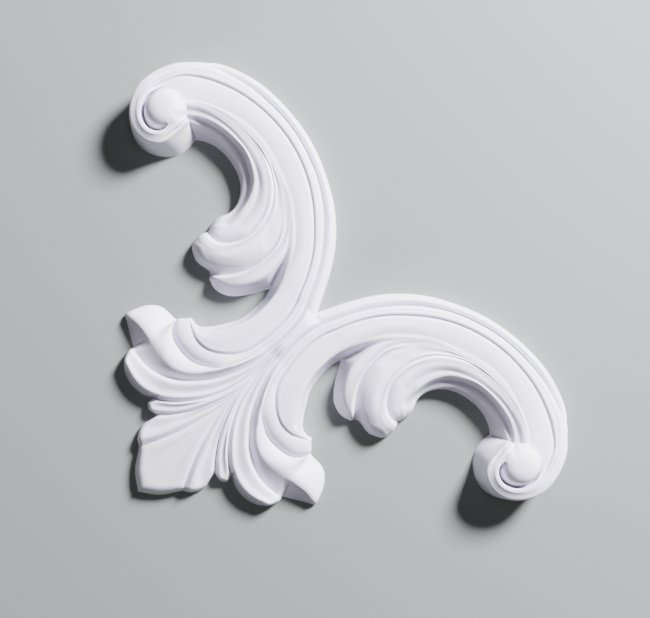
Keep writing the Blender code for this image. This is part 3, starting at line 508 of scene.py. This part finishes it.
secondValley = leafLine(
    [(159.1, 79.2, 21.6), (154.8, 83.9, 20.6), (149, 87.7, 19.8), (141.3, 91, 19), (127.1, 94.8, 18.4),
     (113.8, 96.2, 18.1), (100.8, 95, 17.9), (89.6, 91.6, 17.8), (76.8, 85.6, 17.8), (69, 80.3, 17.8),
     (63.5, 75.3, 17.6), (56.5, 67.5, 17.2), (52, 60.5, 16.7), (50, 53.5, 16), (49.8, 46, 15.1),
     (49.9, 44, 14.9)],
    [(50.5, 38, 13.8), (52.7, 31, 12), (56.2, 24.5, 10), (60.7, 18.5, 8.5), (65, 14, 7.3), (68, 11.7, 6)])
secondCrest = leafLine(
    [(159.4, 79.25, 21.7), (155, 84.1, 20.7), (149.15, 87.95, 19.8), (141.1, 91.5, 19), (127.1, 95.3, 18.4),
     (113.9, 96.8, 18.1), (100.8, 95.6, 17.9), (89.4, 92.1, 17.8), (76.5, 86.4, 17.8), (68.2, 80.6, 17.9),
     (61.5, 74.8, 17.9), (55.2, 67.3, 17.7), (51.2, 60.5, 17.4), (49, 53.7, 17), (48.6, 46, 16.6),
     (48.6, 44, 16.5)],
    [(49.2, 37.5, 16.2), (51, 30.2, 15.4), (54, 23.7, 14.2), (58.4, 17.3, 12.6), (63.2, 12.6, 10.6),
     (67.5, 10.5, 8)])
secondGroove = leafLine(
    [(159.7, 79.3, 21.7), (155.1, 84.2, 20.7), (149.25, 88.15, 19.8), (140.9, 91.9, 19), (127.2, 95.8, 18.4),
     (114, 97.4, 18.1), (100.9, 96.2, 17.9), (89.2, 92.6, 17.8), (76.2, 87, 17.8), (67.4, 81.3, 17.3),
     (60.5, 75.7, 16.8), (53.6, 68.2, 16.5), (49.4, 60.8, 16.3), (47.6, 53, 16.2), (47.2, 46, 16),
     (47.2, 43, 15.9)],
    [(48, 36.5, 15.7), (50, 29, 15), (52.8, 22.8, 14), (57, 16.6, 12.4), (62, 11.8, 10.6), (66.6, 9.3, 8)])
leafShoulder = leafLine(
    [(160, 79.33, 21.8), (155.25, 84.4, 20.7), (149.35, 88.35, 19.8), (140.7, 92.4, 19), (127.3, 96.4, 18.4),
     (114, 98, 18.1), (101, 96.8, 17.9), (88.9, 93.2, 17.8), (75.8, 87.8, 17.7), (66.2, 81.9, 17.5),
     (57.3, 73.5, 17.5), (49.9, 65.6, 17.4), (45.4, 58.8, 17.2), (43, 51.5, 16.9), (42.2, 45, 16.5),
     (42, 39.5, 16.1)],
    [(42.8, 32, 15.3), (45.7, 25, 14), (50, 18.7, 12.5), (55.5, 14, 11), (60.5, 11.7, 9.5), (65, 8.8, 8)])
leafFoot = flowLine(
    [[(33.6, 33.4, 0), *onBack([(36.2, 29.3), (38.8, 24.3), (42, 19.2), (45.8, 14.3), (50, 10.5), (54.5, 8.3),
                                (59, 7.4), (62.7, 7.8)])]], (lobeRows,), {0: sideLeaf["closing"]})


def layFlush(line, innerLine, flushRows, fullness):
    # near the eye a groove's lines lie flush between the line inside them and the band
    inner, outer, own = innerLine[:armCount], bandEdge[armStart:apexRow + 1], line[:armCount]
    toInner = np.linalg.norm((own - inner)[:, :2], axis=1)
    toOuter = np.linalg.norm((outer - own)[:, :2], axis=1)
    share = toInner / (toInner + toOuter)
    flush = inner[:, 2] + (outer - inner)[:, 2] * share + fullness * 4 * share * (1 - share)
    own[:, 2] += (flush - own[:, 2]) * np.interp(np.arange(armCount), flushRows, (1, 0))


for line in (firstValley, firstCrest, firstGroove):
    layFlush(line, lobeGroove, sideLeaf["firstFlush"], sideLeaf["firstFullness"])
for line in (secondValley, secondCrest, secondGroove, leafShoulder, parting):
    layFlush(line, firstGroove, sideLeaf["secondFlush"], sideLeaf["secondFullness"])


def lobeBack(share, alongLobe):
    # down the back of the middle lobe, between its groove and the next valley
    alongArm = lineBetween(firstGroove[:armCount], secondValley[:armCount], share,
                           [(sideLeaf["secondFlush"][0], 0.0), (armAndNeck, 1.0)],
                           [(sideLeaf["secondFlush"][0], 0.0), (armAndNeck, 0.9)])
    lobe = flowLine([[tuple(alongArm[-1]), *alongLobe]], (lobeRows,), {0: sideLeaf["closing"]}, (0,))
    return np.concatenate([alongArm, lobe[1:]])


middleBack = lobeBack(0.4, [(60.7, 42, 17), (63.5, 35, 16.4), (68, 28.5, 15.4), (74.5, 23.3, 14.2),
                            (82, 20.5, 13), (91, 17.7, 11)])
middleSide = lobeBack(0.7, [(55.5, 39.5, 15.8), (58.3, 32, 14.6), (63, 25, 13.2), (69, 19.5, 12),
                            (75.5, 16.3, 11), (82, 11.9, 10)])
firstLip = lipOf(firstGroove, middleBack, lips["leafWidth"],
                 [(armAndNeck * 0.3, 0.0), (armAndNeck * 0.5, 0.6), (armAndNeck * 0.85, lips["leafRise"]),
                  (armAndNeck + lobeRows * 0.3, 0.0)])


def rib(points, zone=4.0):
    return flowLine([points], flowRows[4:5], {0: zone}, (0,))


# between the outer fronds: ribs that spring from the line of symmetry and end at the palmette's foot.
# The narrow finger parts from the leaf beside it a little more than half way down
fingerLip = rib([(0, -10, 15), (0.6, -19.3, 14.9), (2.9, -28, 14.8), (5.2, -35.7, 14.5), (8.2, -42.7, 14),
                 (11.6, -49.3, 13.3), (15.7, -55.1, 12.4), (20.2, -60.5, 11.3), (25.2, -65.4, 9.9),
                 (30.9, -69.7, 8.4), (34, -71.9, 7.4), (36.3, -73.6, 6.7)])
fingerBack = rib([(0, -14.5, 14.9), (2.2, -28.4, 14.8), (5, -37.2, 14.5), (8.8, -46, 13.9),
                  (13.2, -53.2, 12.5), (16.4, -57.9, 11.3), (19.9, -62.9, 10.1), (24.1, -67.5, 8.9),
                  (29.1, -71.6, 7.7), (33.6, -74.9, 7.2), (36.9, -76.1, 7)])
fingerEdge = rib([(0, -18, 14.8), (1.8, -29, 14.8), (4.5, -38, 14.5), (7.9, -46.6, 14), (12.1, -54.3, 13),
                  (14.8, -59.7, 11.8), (18.1, -64.5, 10.6), (22.3, -69.3, 9.4), (27.6, -73.9, 8.1),
                  (33.9, -78.8, 6.8)])
fingerGap = rib([(0, -21, 14.4), (1.4, -30, 13.9), (3.9, -39, 13.3), (7.2, -47.6, 12.3), (10.3, -55.4, 10.6),
                 (12.3, -58.8, 9.5), (14.9, -62.6, 8.8), (17.8, -66.9, 8), (20.9, -71.1, 7), (24.4, -74.8, 6),
                 (27.2, -78.8, 5)])
leafEdge = rib([(0, -24, 14.8), (1.1, -31, 14.8), (3.4, -40, 14.5), (6.5, -48.5, 14.1), (9.2, -54.5, 13.5),
                (10.9, -57.6, 12.7), (13, -61.5, 11.9), (15.9, -66.6, 10.8), (18.9, -70.9, 9.7),
                (22, -74.9, 8.5), (25.4, -78.9, 7.2), (27.6, -82.5, 6)])
hollow = rib([(0, -27, 14.5), (1, -33, 14.1), (3, -42, 13.5), (5.8, -51, 12.9), (9, -59.5, 12.2),
              (12, -65.5, 11.4), (15.8, -72.5, 10.5), (20, -79.4, 8.3), (24, -85, 6.5), (28.9, -88.3, 5.5)])
sideRidge = rib([(0, -30, 15), (1.2, -38, 15), (3.4, -47, 14.7), (7.2, -58.2, 14), (11.3, -69.5, 13),
                 (15.3, -80.5, 11.5), (19.5, -89.5, 9.8), (24.8, -97.5, 7)])
ribValley = rib([(0, -34, 14.6), (1.4, -44, 13.8), (3.5, -54.5, 12.8), (6.6, -66, 11.8), (10.2, -77.5, 10.1),
                 (14.3, -87.3, 8.4), (17.5, -94.5, 7), (20.3, -100.6, 6)])
innerRidge = rib([(0, -39, 15), (1.2, -48.5, 14.6), (2.9, -57, 14), (5.2, -67, 13.3), (8.7, -78.3, 12),
                  (12.8, -88, 10.3), (15.8, -95, 8.8), (18, -103.8, 7)], 6.0)
middleLeaf = rib([(0, -44, 14.8), (1.2, -58, 14.2), (3, -72, 13), (5.5, -86, 11.2), (8.3, -98, 9.4),
                  (11.3, -112.8, 7.5)], 8.0)
middleLine = rib([(0, -50, 14.6), (0, -70, 13.2), (0, -88, 11.5), (0, -102, 9.8), (0, -112, 8.5),
                  (0, -121, 8)], 9.0)


def beside(line, distance):
    # moved to the right of its flow, on the back
    ahead = np.gradient(line[:, :2], axis=0)
    ahead /= np.linalg.norm(ahead, axis=1)[:, None]
    return np.stack([line[:, 0] + ahead[:, 1] * distance, line[:, 1] - ahead[:, 0] * distance,
                     np.zeros(len(line))], axis=1)


armFoot = beside(rim[armStart:crotchRow + 1], scroll["sideDraft"])
armFoot[-1] = (0, 44.6, 0)
drumFoot = flowLine([[scroll["cornerFoot"], *roundEye([(a, r, 0) for a, r in scroll["foot"]]),
                      tuple(armFoot[0])]],
                    flowRows[:1])
sideFoot = np.concatenate([drumFoot, armFoot[1:]])
print("flow lines walked")


def bandTable(rows, creases, bulges):
    # across the arm from the broad band to the rim
    return [
        (bandEdge[rows], creases["edge"], 10, bulges["broad"]),
        (lipInside[rows], 0, 4, 0),
        (bandGroove[rows], creases["groove"], 4, 0),
        (lipOutside[rows], 0, 4, bulges["cuff"]),
        (cuffEdge[rows], creases["cuff"], 2, 0),
        (cuffLip[rows], 0, 4, bulges["upper"]),
        (upperRidge[rows], creases["ridge"], 6, bulges["lower"]),
        (deepGroove[rows], creases["deep"], 4, 0),
        (beadCrest[rows], 0, 3, 0),
        (frondGroove[rows], 0, 3, 0),
        (outerRidge[rows], 0, 4, bulges["rim"]),
        (rim[rows], creases.get("rim", 1), 0, 0),
    ]


leafKeys = (0, cornerPiece["armRows"] // 2, armAndNeck, armAndNeck + lobeRows)
wallSteps = 6  # columns up a wall from the back
partingSteps = 8  # columns from the parting to the broad band's edge

# low on the arm's inner side, hollowed under the leaf
flankFoot = lineBetween(innerStep, flankTop, 0.52, [(0, 0.0), (armAndNeck, 0.0)],
                        [(0, -0.6), (12, -2.1), (armAndNeck // 2, -2.6), (armAndNeck, -1.2),
                         (armAndNeck + lobeRows // 2, 0.0)])


def leafTable(rows):
    # across the side leaf, from the inner foot to the shoulder beside the band
    first, last = rows.start, rows.stop - 1

    def at(*values):
        return tuple(np.interp((first, last), leafKeys, values))

    return [
        (innerFoot[rows], 1, wallSteps, 0),
        (innerStep[rows], at(0.9, 0.8, 0.5, 0), 4, at(0, 0.2, 0, 0.5)),
        (flankFoot[rows], at(0.4, 0.7, 0.4, 0), 4, 0),
        (flankTop[rows], at(0.3, 0.6, 0.2, 0), 4, at(0, 0.4, 0.3, 0.4)),
        (lobeGroove[rows], at(0, 0.2, 0.3, 0), 8, at(0, 0.5, 1.2, 1.5)),
        (firstValley[rows], at(0, 0.1, 0.4, 0.8), 3, 0),
        (firstCrest[rows], 0, 3, 0),
        (firstGroove[rows], at(0, 0.1, 0.3, 0), 3, 0),
        (firstLip[rows], 0, 4, 0),
        (middleBack[rows], 0, 4, 0),
        (middleSide[rows], 0, 4, 0),
        (secondValley[rows], at(0, 0, 0.5, 0.9), 3, 0),
        (secondCrest[rows], 0, 3, 0),
        (secondGroove[rows], at(0, 0.1, 0.2, 0), 4, 0),
        (leafShoulder[rows], 0, 6, 0),
    ]


# the arm with its side leaf, from the inner foot to the rim
armLeaf = leafTable(slice(0, armCount))
openAt = int(cornerPiece["armRows"] * cornerPiece["opensAt"])


def spread(table, keys, newKeys):
    # restates a table's changing values at other key rows
    def restate(value):
        return value if isinstance(value, (int, float)) else tuple(np.interp(newKeys, keys, value))
    return [(line, restate(crease), steps, restate(bulge)) for line, crease, steps, bulge in table]


armKeys = (0, openAt - 12, openAt, cornerPiece["armRows"], armAndNeck)
arm = carve(spread(armLeaf, (0, armAndNeck), armKeys)
            + [(parting[:armCount], (0, 0, 0.5, 0.3, 0.3), partingSteps, (0, 0, 0.5, 0.6, 0.2))]
            + bandTable(slice(armStart, apexRow + 1),
                        {"edge": (0, 0, 0.2, 0.8, 1), "groove": 0.4, "cuff": 0, "ridge": 0, "deep": 0.3,
                         "rim": (1, 1, 1, 1, 0)},
                        {"broad": (0.4, 0.4, 0.8, 1.4, 1.4), "cuff": 0, "upper": 0.3, "lower": 0.2,
                         "rim": 0.2}), armKeys)
leafEnd = sum(entry[2] for entry in armLeaf)  # the column of the parting
bandStart = leafEnd + partingSteps

# the scroll's ring, the throat with the fan, and the lobes carry on from it
ringKeys = (scrollEnd, diveRow, settlingRow, armStart)
ring = carve(bandTable(slice(scrollEnd, armStart + 1),
                       {"edge": (1, 1, 0.3, 0), "groove": (0, 0, 0.2, 0.4), "cuff": 0, "ridge": 0,
                        "deep": (0, 0, 0.1, 0.3)},
                       {"broad": (0, 0, 0, 0.4), "cuff": 0, "upper": (0, 0, 0, 0.3), "lower": (0, 0, 0, 0.2),
                        "rim": (0, 0, 0, 0.2)}), ringKeys)
ring = meet(ring[::-1], arm[0, bandStart:])[::-1]

throatKeys = tuple(key - apexRow for key in (apexRow, slitRow, fanFoot, notchRow))
throatTable = ([(parting[apexRow - armStart:], 1, partingSteps, (0.2, 0.2, 0.3, 0.6))]
               + bandTable(slice(apexRow, notchRow + 1),
                           {"edge": (1, 1, 0.8, 0.3), "groove": 0.4, "cuff": (0, 0.2, 1, 1),
                            "ridge": (0, 0.4, 0.9, 0.9), "deep": (0.3, 0.4, 0.6, 1),
                            "rim": (0, 0.3, 1, 1)},
                           {"broad": (1.4, 1.0, 0.8, 0.6), "cuff": (0, 0.3, 2.2, 1.8),
                            "upper": (0.3, 0.3, 1.4, 2.6), "lower": (0.2, 0.1, -0.4, -0.4),
                            "rim": 0.2}))
frondEntries = slice(5, 8)  # from the cuff's edge to the deep groove, which run on into the tip
throat = carve(throatTable, throatKeys, True, range(frondEntries.start, frondEntries.stop))
throat = meet(throat, arm[-1, leafEnd:])

lobes = carve(leafTable(slice(armAndNeck, armAndNeck + lobeRows + 1)) + [(leafFoot, 1, 0, 0)],
              (0, lobeRows), closing=True)
lobes = meet(lobes, arm[-1, :leafEnd + 1])
print("arm, ring, throat and lobes carved")

# the upper frond's tip, on as many columns as the throat has from the cuff's edge to the deep groove
tipStart = sum(entry[2] for entry in throatTable[:frondEntries.start])
tipWidth = sum(entry[2] for entry in throatTable[frondEntries])
tip = carve([(upperOutline, 1, tipWidth // 2, 2.6), (tipRidge, 0.9, tipWidth // 2, (-0.4, 0)),
             (lowerOutline, 1, 0, 0)], (0, cornerPiece["tipRows"]), closing=True)
tip = meet(tip, throat[-1, tipStart:tipStart + tipWidth + 1])

fanKeys = (0, cornerPiece["fanRows"] // 2, cornerPiece["fanRows"])
palmette = carve([
    (rim[slitRow:fanFoot + 1], (0.3, 0.6, 1.0), 4, 0),
    (fingerLip, 0, 4, 0),
    (fingerBack, 0, 4, 0),
    (fingerEdge, (0, 0.2, 0.5), 4, 0),
    (fingerGap, (0, 0.5, 1), 4, 0),
    (leafEdge, (0, 0.3, 0.5), 5, 0),
    (hollow, 0, 6, 0),
    (sideRidge, 0, 6, 0.4),
    (ribValley, 0.8, 4, 0),
    (innerRidge, 0.2, 6, 0.3),
    (middleLeaf, 0, 6, 0.3),
    (middleLine, 0, 0, 0),
], fanKeys, closing=True)

side = carve([(rim[:crotchRow + 1], 1, wallSteps, 0), (sideFoot, 1, 0, 0)], (0,))
side = meet(side, arm[0, wallSteps::-1])

# the corner between the arm's inner side and the eye, and the eye: rings that close on a dome
cornerRows = cornerPiece["cornerRows"]
webEnd = wallSteps + cornerRows
web = carve([(arm[0, wallSteps:webEnd + 1], 0, 6, 0), (bandEdge[:cornerRows + 1], 0, 0, 0)], (0,))
aroundEye = np.concatenate([arm[0, webEnd:bandStart + 1], bandEdge[armStart - 1:cornerRows:-1],
                            web[-1, ::-1]])
eyeRings = cornerPiece["eyeRings"]
closeness = np.cos(np.arange(eyeRings + 1) / eyeRings * math.pi / 2)[:, None, None]
# a ball whose foot is tight round the crevice, and merges with the ring where the crevice ends
fromTop = aroundEye[:, :2] - scroll["eyeTop"]
bearing = np.degrees(np.arctan2(fromTop[:, 1:], fromTop[:, :1]))
footSpread = np.interp(bearing, *zip(*scroll["footSpread"]))


def ballHeight(away):
    full, ball = scroll["eyeFullness"], scroll["eyeBall"]
    return scroll["eyeHeight"] - ball * (1 - (1 - (away / ball) ** full) ** (1 / full))


reach = np.minimum(np.linalg.norm(fromTop, axis=1)[:, None], scroll["eyeBall"])
eye = np.empty((len(closeness), *aroundEye.shape))
eye[..., :2] = scroll["eyeTop"] + fromTop * closeness
footMisfit = aroundEye[:, 2:] - ballHeight(reach)
eye[..., 2:] = ballHeight(reach * closeness) + footMisfit * closeness**footSpread
print("palmette, side and eye carved")


def layGrid(bm, sheet):
    rows, places = sheet.shape[:2]
    made = bmesh.ops.create_grid(bm, x_segments=places - 1, y_segments=rows - 1, size=1)
    for vert, point in zip(made["verts"], sheet.reshape(-1, 3)):
        vert.co = point


def buildCorner():
    bm = bmesh.new()
    for sheet in (arm, ring, throat, lobes, tip, palmette, side, web, eye):
        layGrid(bm, sheet)
    bmesh.ops.remove_doubles(bm, verts=bm.verts, dist=cornerPiece["weld"])
    # the flat back is one face inside the outline, open on the line of symmetry
    near = cornerPiece["flatWithin"]
    outline = [edge for edge in bm.edges if edge.is_boundary and all(v.co.z < near for v in edge.verts)]
    ends = [v for v in {v for edge in outline for v in edge.verts} if abs(v.co.x) < near]
    outline.append(bm.edges.new(ends))
    back = bmesh.ops.contextual_create(bm, geom=outline)["faces"]
    bmesh.ops.triangulate(bm, faces=back)
    bmesh.ops.mirror(bm, geom=bm.verts[:] + bm.edges[:] + bm.faces[:], matrix=Matrix.Identity(4),
                     merge_dist=cornerPiece["weld"], axis="X")
    bmesh.ops.remove_doubles(bm, verts=bm.verts, dist=cornerPiece["weld"])
    bmesh.ops.recalc_face_normals(bm, faces=bm.faces)
    openEdges = sum(1 for edge in bm.edges if len(edge.link_faces) != 2)
    turned = Matrix.Rotation(math.radians(90), 4, "X") @ Matrix.Rotation(math.radians(-45), 4, "Z")
    bmesh.ops.transform(bm, matrix=turned @ Matrix.Scale(cornerPiece["metresPerUnit"], 4), verts=bm.verts)
    mesh = bpy.data.meshes.new("cornerCarving")
    bm.to_mesh(mesh)
    print("corner carving:", len(bm.faces), "faces,", openEdges, "open edges")
    bm.free()
    mesh.shade_smooth()
    mesh.set_sharp_from_angle(angle=math.radians(cornerPiece["sharpDegrees"]))
    piece = bpy.data.objects.new("cornerCarving", mesh)
    bpy.context.scene.collection.objects.link(piece)
    return piece


# the curvature mask that drives the painted shade in hollows and the painted highlight on ridges
hollows = {
    "perMetre": 200,  # the curvature that counts as a full hollow
    "spread": 2,  # rounds of smoothing
}


def markHollows(mesh):
    # how hollow the surface is at each point, which sets where the primer gets painted shade (hollows) and a
    # painted highlight (ridges)
    count = len(mesh.vertices)
    places, normals = np.empty(count * 3), np.empty(count * 3)
    mesh.vertices.foreach_get("co", places)
    mesh.vertex_normals.foreach_get("vector", normals)
    places, normals = places.reshape(-1, 3), normals.reshape(-1, 3)
    ends = np.empty(len(mesh.edges) * 2, dtype=np.int32)
    mesh.edges.foreach_get("vertices", ends)
    one = np.concatenate([ends[0::2], ends[1::2]])
    other = np.concatenate([ends[1::2], ends[0::2]])
    gaps = places[other] - places[one]
    bends = 2 * np.sum(gaps * normals[one], axis=1) / (np.sum(gaps**2, axis=1) + 1e-12)
    neighbours = np.bincount(one, minlength=count)
    hollow = np.clip(np.bincount(one, bends, count) / neighbours / hollows["perMetre"], -1, 1)
    for turn in range(hollows["spread"]):
        hollow = (hollow + np.bincount(one, hollow[other], count) / neighbours) / 2
    mark = mesh.attributes.new("hollow", "FLOAT", "POINT")
    mark.data.foreach_set("value", hollow.astype(np.float32))


cornerCarving = buildCorner()
markHollows(cornerCarving.data)
print("hollows marked")
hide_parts("corner_moulding")
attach(cornerCarving, "root")


class Wire:
    # a socket that can be used in sums: each operator adds its Math node
    def __init__(self, tree, socket=None):
        self.tree = tree
        self.socket = socket

    def node(self, kind, settings=(), values=(), output=0):
        made = self.tree.nodes.new(kind)
        for name, value in dict(settings).items():
            setattr(made, name, value)
        for name, value in dict(values).items():
            if isinstance(value, Wire):
                value.feed(made.inputs[name])
            else:
                made.inputs[name].default_value = value
        return Wire(self.tree, made.outputs[output])

    def feed(self, target):
        self.tree.links.new(self.socket, target)

    def maths(self, operation, first, second):
        return self.node("ShaderNodeMath", {"operation": operation}, {0: first, 1: second})

    def __add__(self, other):
        return self.maths("ADD", self, other)

    def __sub__(self, other):
        return self.maths("SUBTRACT", self, other)

    def __rsub__(self, other):
        return self.maths("SUBTRACT", other, self)

    def __mul__(self, other):
        return self.maths("MULTIPLY", self, other)

    __radd__ = __add__
    __rmul__ = __mul__


# white primer over cast foam: matt, with a faint mottle and a fine sprayed grain; painted shade makes it
# greyer in the hollows and a painted highlight makes it lighter on the ridges
whitePrimer = {
    "colour": (0.84, 0.82, 0.91, 1),
    "thinColour": (0.79, 0.77, 0.86, 1),  # where the primer lies thinner
    # painted shade: the primer is darkened in the hollows by the curvature mask
    "paintedHollowShade": (0.4, 0.37, 0.48, 1),
    "paintedShadeShare": 0.9,
    # painted highlight: the primer is lightened on the ridges by the same mask
    "paintedRidgeHighlight": (0.92, 0.91, 0.97, 1),
    "paintedHighlightShare": 0.8,
    "roughness": 0.52,
    "roughnessSpread": 0.12,
    "mottleScale": 38,
    "mottleDetail": 4.0,
    "mottleRoughness": 0.55,
    "mottleHeight": 0.6,  # beside the grain's
    "grainScale": 1500,
    "grainDetail": 2.0,
    "grainDepth": 0.00003,
    "grainStrength": 0.35,
}


def makePrimer():
    material = bpy.data.materials.new("whitePrimer")
    material.use_nodes = True
    tree = material.node_tree
    start = Wire(tree)
    place = start.node("ShaderNodeTexCoord", output="Object")
    mottle = start.node("ShaderNodeTexNoise", {"noise_dimensions": "3D"},
                        {"Vector": place, "Scale": whitePrimer["mottleScale"],
                         "Detail": whitePrimer["mottleDetail"],
                         "Roughness": whitePrimer["mottleRoughness"]})
    grain = start.node("ShaderNodeTexNoise", {"noise_dimensions": "3D"},
                       {"Vector": place, "Scale": whitePrimer["grainScale"],
                        "Detail": whitePrimer["grainDetail"]})
    hollow = start.node("ShaderNodeAttribute", {"attribute_name": "hollow"}, output="Fac")
    # colour A is socket 6, colour B is socket 7, and the mixed colour is output 2
    primer = start.node("ShaderNodeMix", {"data_type": "RGBA"},
                        {"Factor": mottle, 6: whitePrimer["thinColour"], 7: whitePrimer["colour"]}, 2)
    # painted highlight: lighter where the surface bulges
    highlightedPrimer = start.node("ShaderNodeMix", {"data_type": "RGBA"},
                        {"Factor": (0 - hollow) * whitePrimer["paintedHighlightShare"], 6: primer,
                         7: whitePrimer["paintedRidgeHighlight"]}, 2)
    # painted shade: darker where the surface is hollow
    colour = start.node("ShaderNodeMix", {"data_type": "RGBA"},
                        {"Factor": hollow * whitePrimer["paintedShadeShare"], 6: highlightedPrimer,
                         7: whitePrimer["paintedHollowShade"]}, 2)
    bump = start.node("ShaderNodeBump", {}, {"Strength": whitePrimer["grainStrength"],
                                             "Distance": whitePrimer["grainDepth"],
                                             "Height": grain + mottle * whitePrimer["mottleHeight"]})
    rough = (mottle - 0.5) * whitePrimer["roughnessSpread"] + whitePrimer["roughness"]
    shader = tree.nodes["Principled BSDF"]
    colour.feed(shader.inputs["Base Color"])
    rough.feed(shader.inputs["Roughness"])
    bump.feed(shader.inputs["Normal"])
    shader.inputs["Metallic"].default_value = 0
    return material


cornerCarving.data.materials.append(makePrimer())
print("primer made")

studio = {
    "key": {"place": (0.9, -0.8, 0.9), "size": 0.45, "power": 158},
    "fill": {"place": (0.05, -1.6, 0.05), "size": 0.9, "power": 4},
    "back": {"place": (-0.7, 1.3, 0.9), "size": 1.2, "power": 40},
    "lampColour": (0.94, 0.895, 1.0),
    "air": (0.9, 0.92, 0.95, 1),
    "airStrength": 0.045,
    "wallColour": (0.2, 0.218, 0.2, 1),
    "wallRoughness": 0.9,
    "wallSize": 4,
    "wallBehind": 0.0002,
}


def addLamp(name, lamp):
    data = bpy.data.lights.new(name, "AREA")
    data.shape = "DISK"
    data.size = lamp["size"]
    data.energy = lamp["power"]
    data.color = studio["lampColour"]
    holder = bpy.data.objects.new(name, data)
    holder.location = lamp["place"]
    holder.rotation_euler = (-Vector(lamp["place"])).to_track_quat("-Z", "Y").to_euler()
    bpy.context.scene.collection.objects.link(holder)


def addWall():
    # open where the piece lies on it, so that the piece's flat back can be seen
    shape = bmesh.new()
    shape.from_mesh(cornerCarving.data)
    back = {face for face in shape.faces if face.normal.y > 0.99 and all(v.co.y > -tiny for v in face.verts)}
    bm = bmesh.new()
    made = {}
    for edge in shape.edges:
        if len(back.intersection(edge.link_faces)) == 1:
            for v in edge.verts:
                if v.index not in made:
                    made[v.index] = bm.verts.new((v.co.x, studio["wallBehind"], v.co.z))
            bm.edges.new([made[v.index] for v in edge.verts])
    half = studio["wallSize"] / 2
    corners = [bm.verts.new((x, studio["wallBehind"], z))
               for x, z in ((-half, -half), (half, -half), (half, half), (-half, half))]
    for first, second in zip(corners, corners[1:] + corners[:1]):
        bm.edges.new((first, second))
    bmesh.ops.triangle_fill(bm, use_beauty=True, use_dissolve=False, edges=bm.edges[:])
    bmesh.ops.recalc_face_normals(bm, faces=bm.faces)
    if bm.faces[:][0].normal.y > 0:
        bmesh.ops.reverse_faces(bm, faces=bm.faces)
    mesh = bpy.data.meshes.new("wall")
    bm.to_mesh(mesh)
    bm.free()
    shape.free()
    wall = bpy.data.objects.new("wall", mesh)
    bpy.context.scene.collection.objects.link(wall)
    paint = bpy.data.materials.new("wallPaint")
    paint.use_nodes = True
    shader = paint.node_tree.nodes["Principled BSDF"]
    shader.inputs["Base Color"].default_value = studio["wallColour"]
    shader.inputs["Roughness"].default_value = studio["wallRoughness"]
    mesh.materials.append(paint)


def addStudio():
    world = bpy.data.worlds.new("studioAir")
    world.use_nodes = True
    background = world.node_tree.nodes["Background"]
    background.inputs["Color"].default_value = studio["air"]
    background.inputs["Strength"].default_value = studio["airStrength"]
    bpy.context.scene.world = world
    for name in ("key", "fill", "back"):
        addLamp(name + "Lamp", studio[name])
    addWall()


addStudio()
print("studio lit")
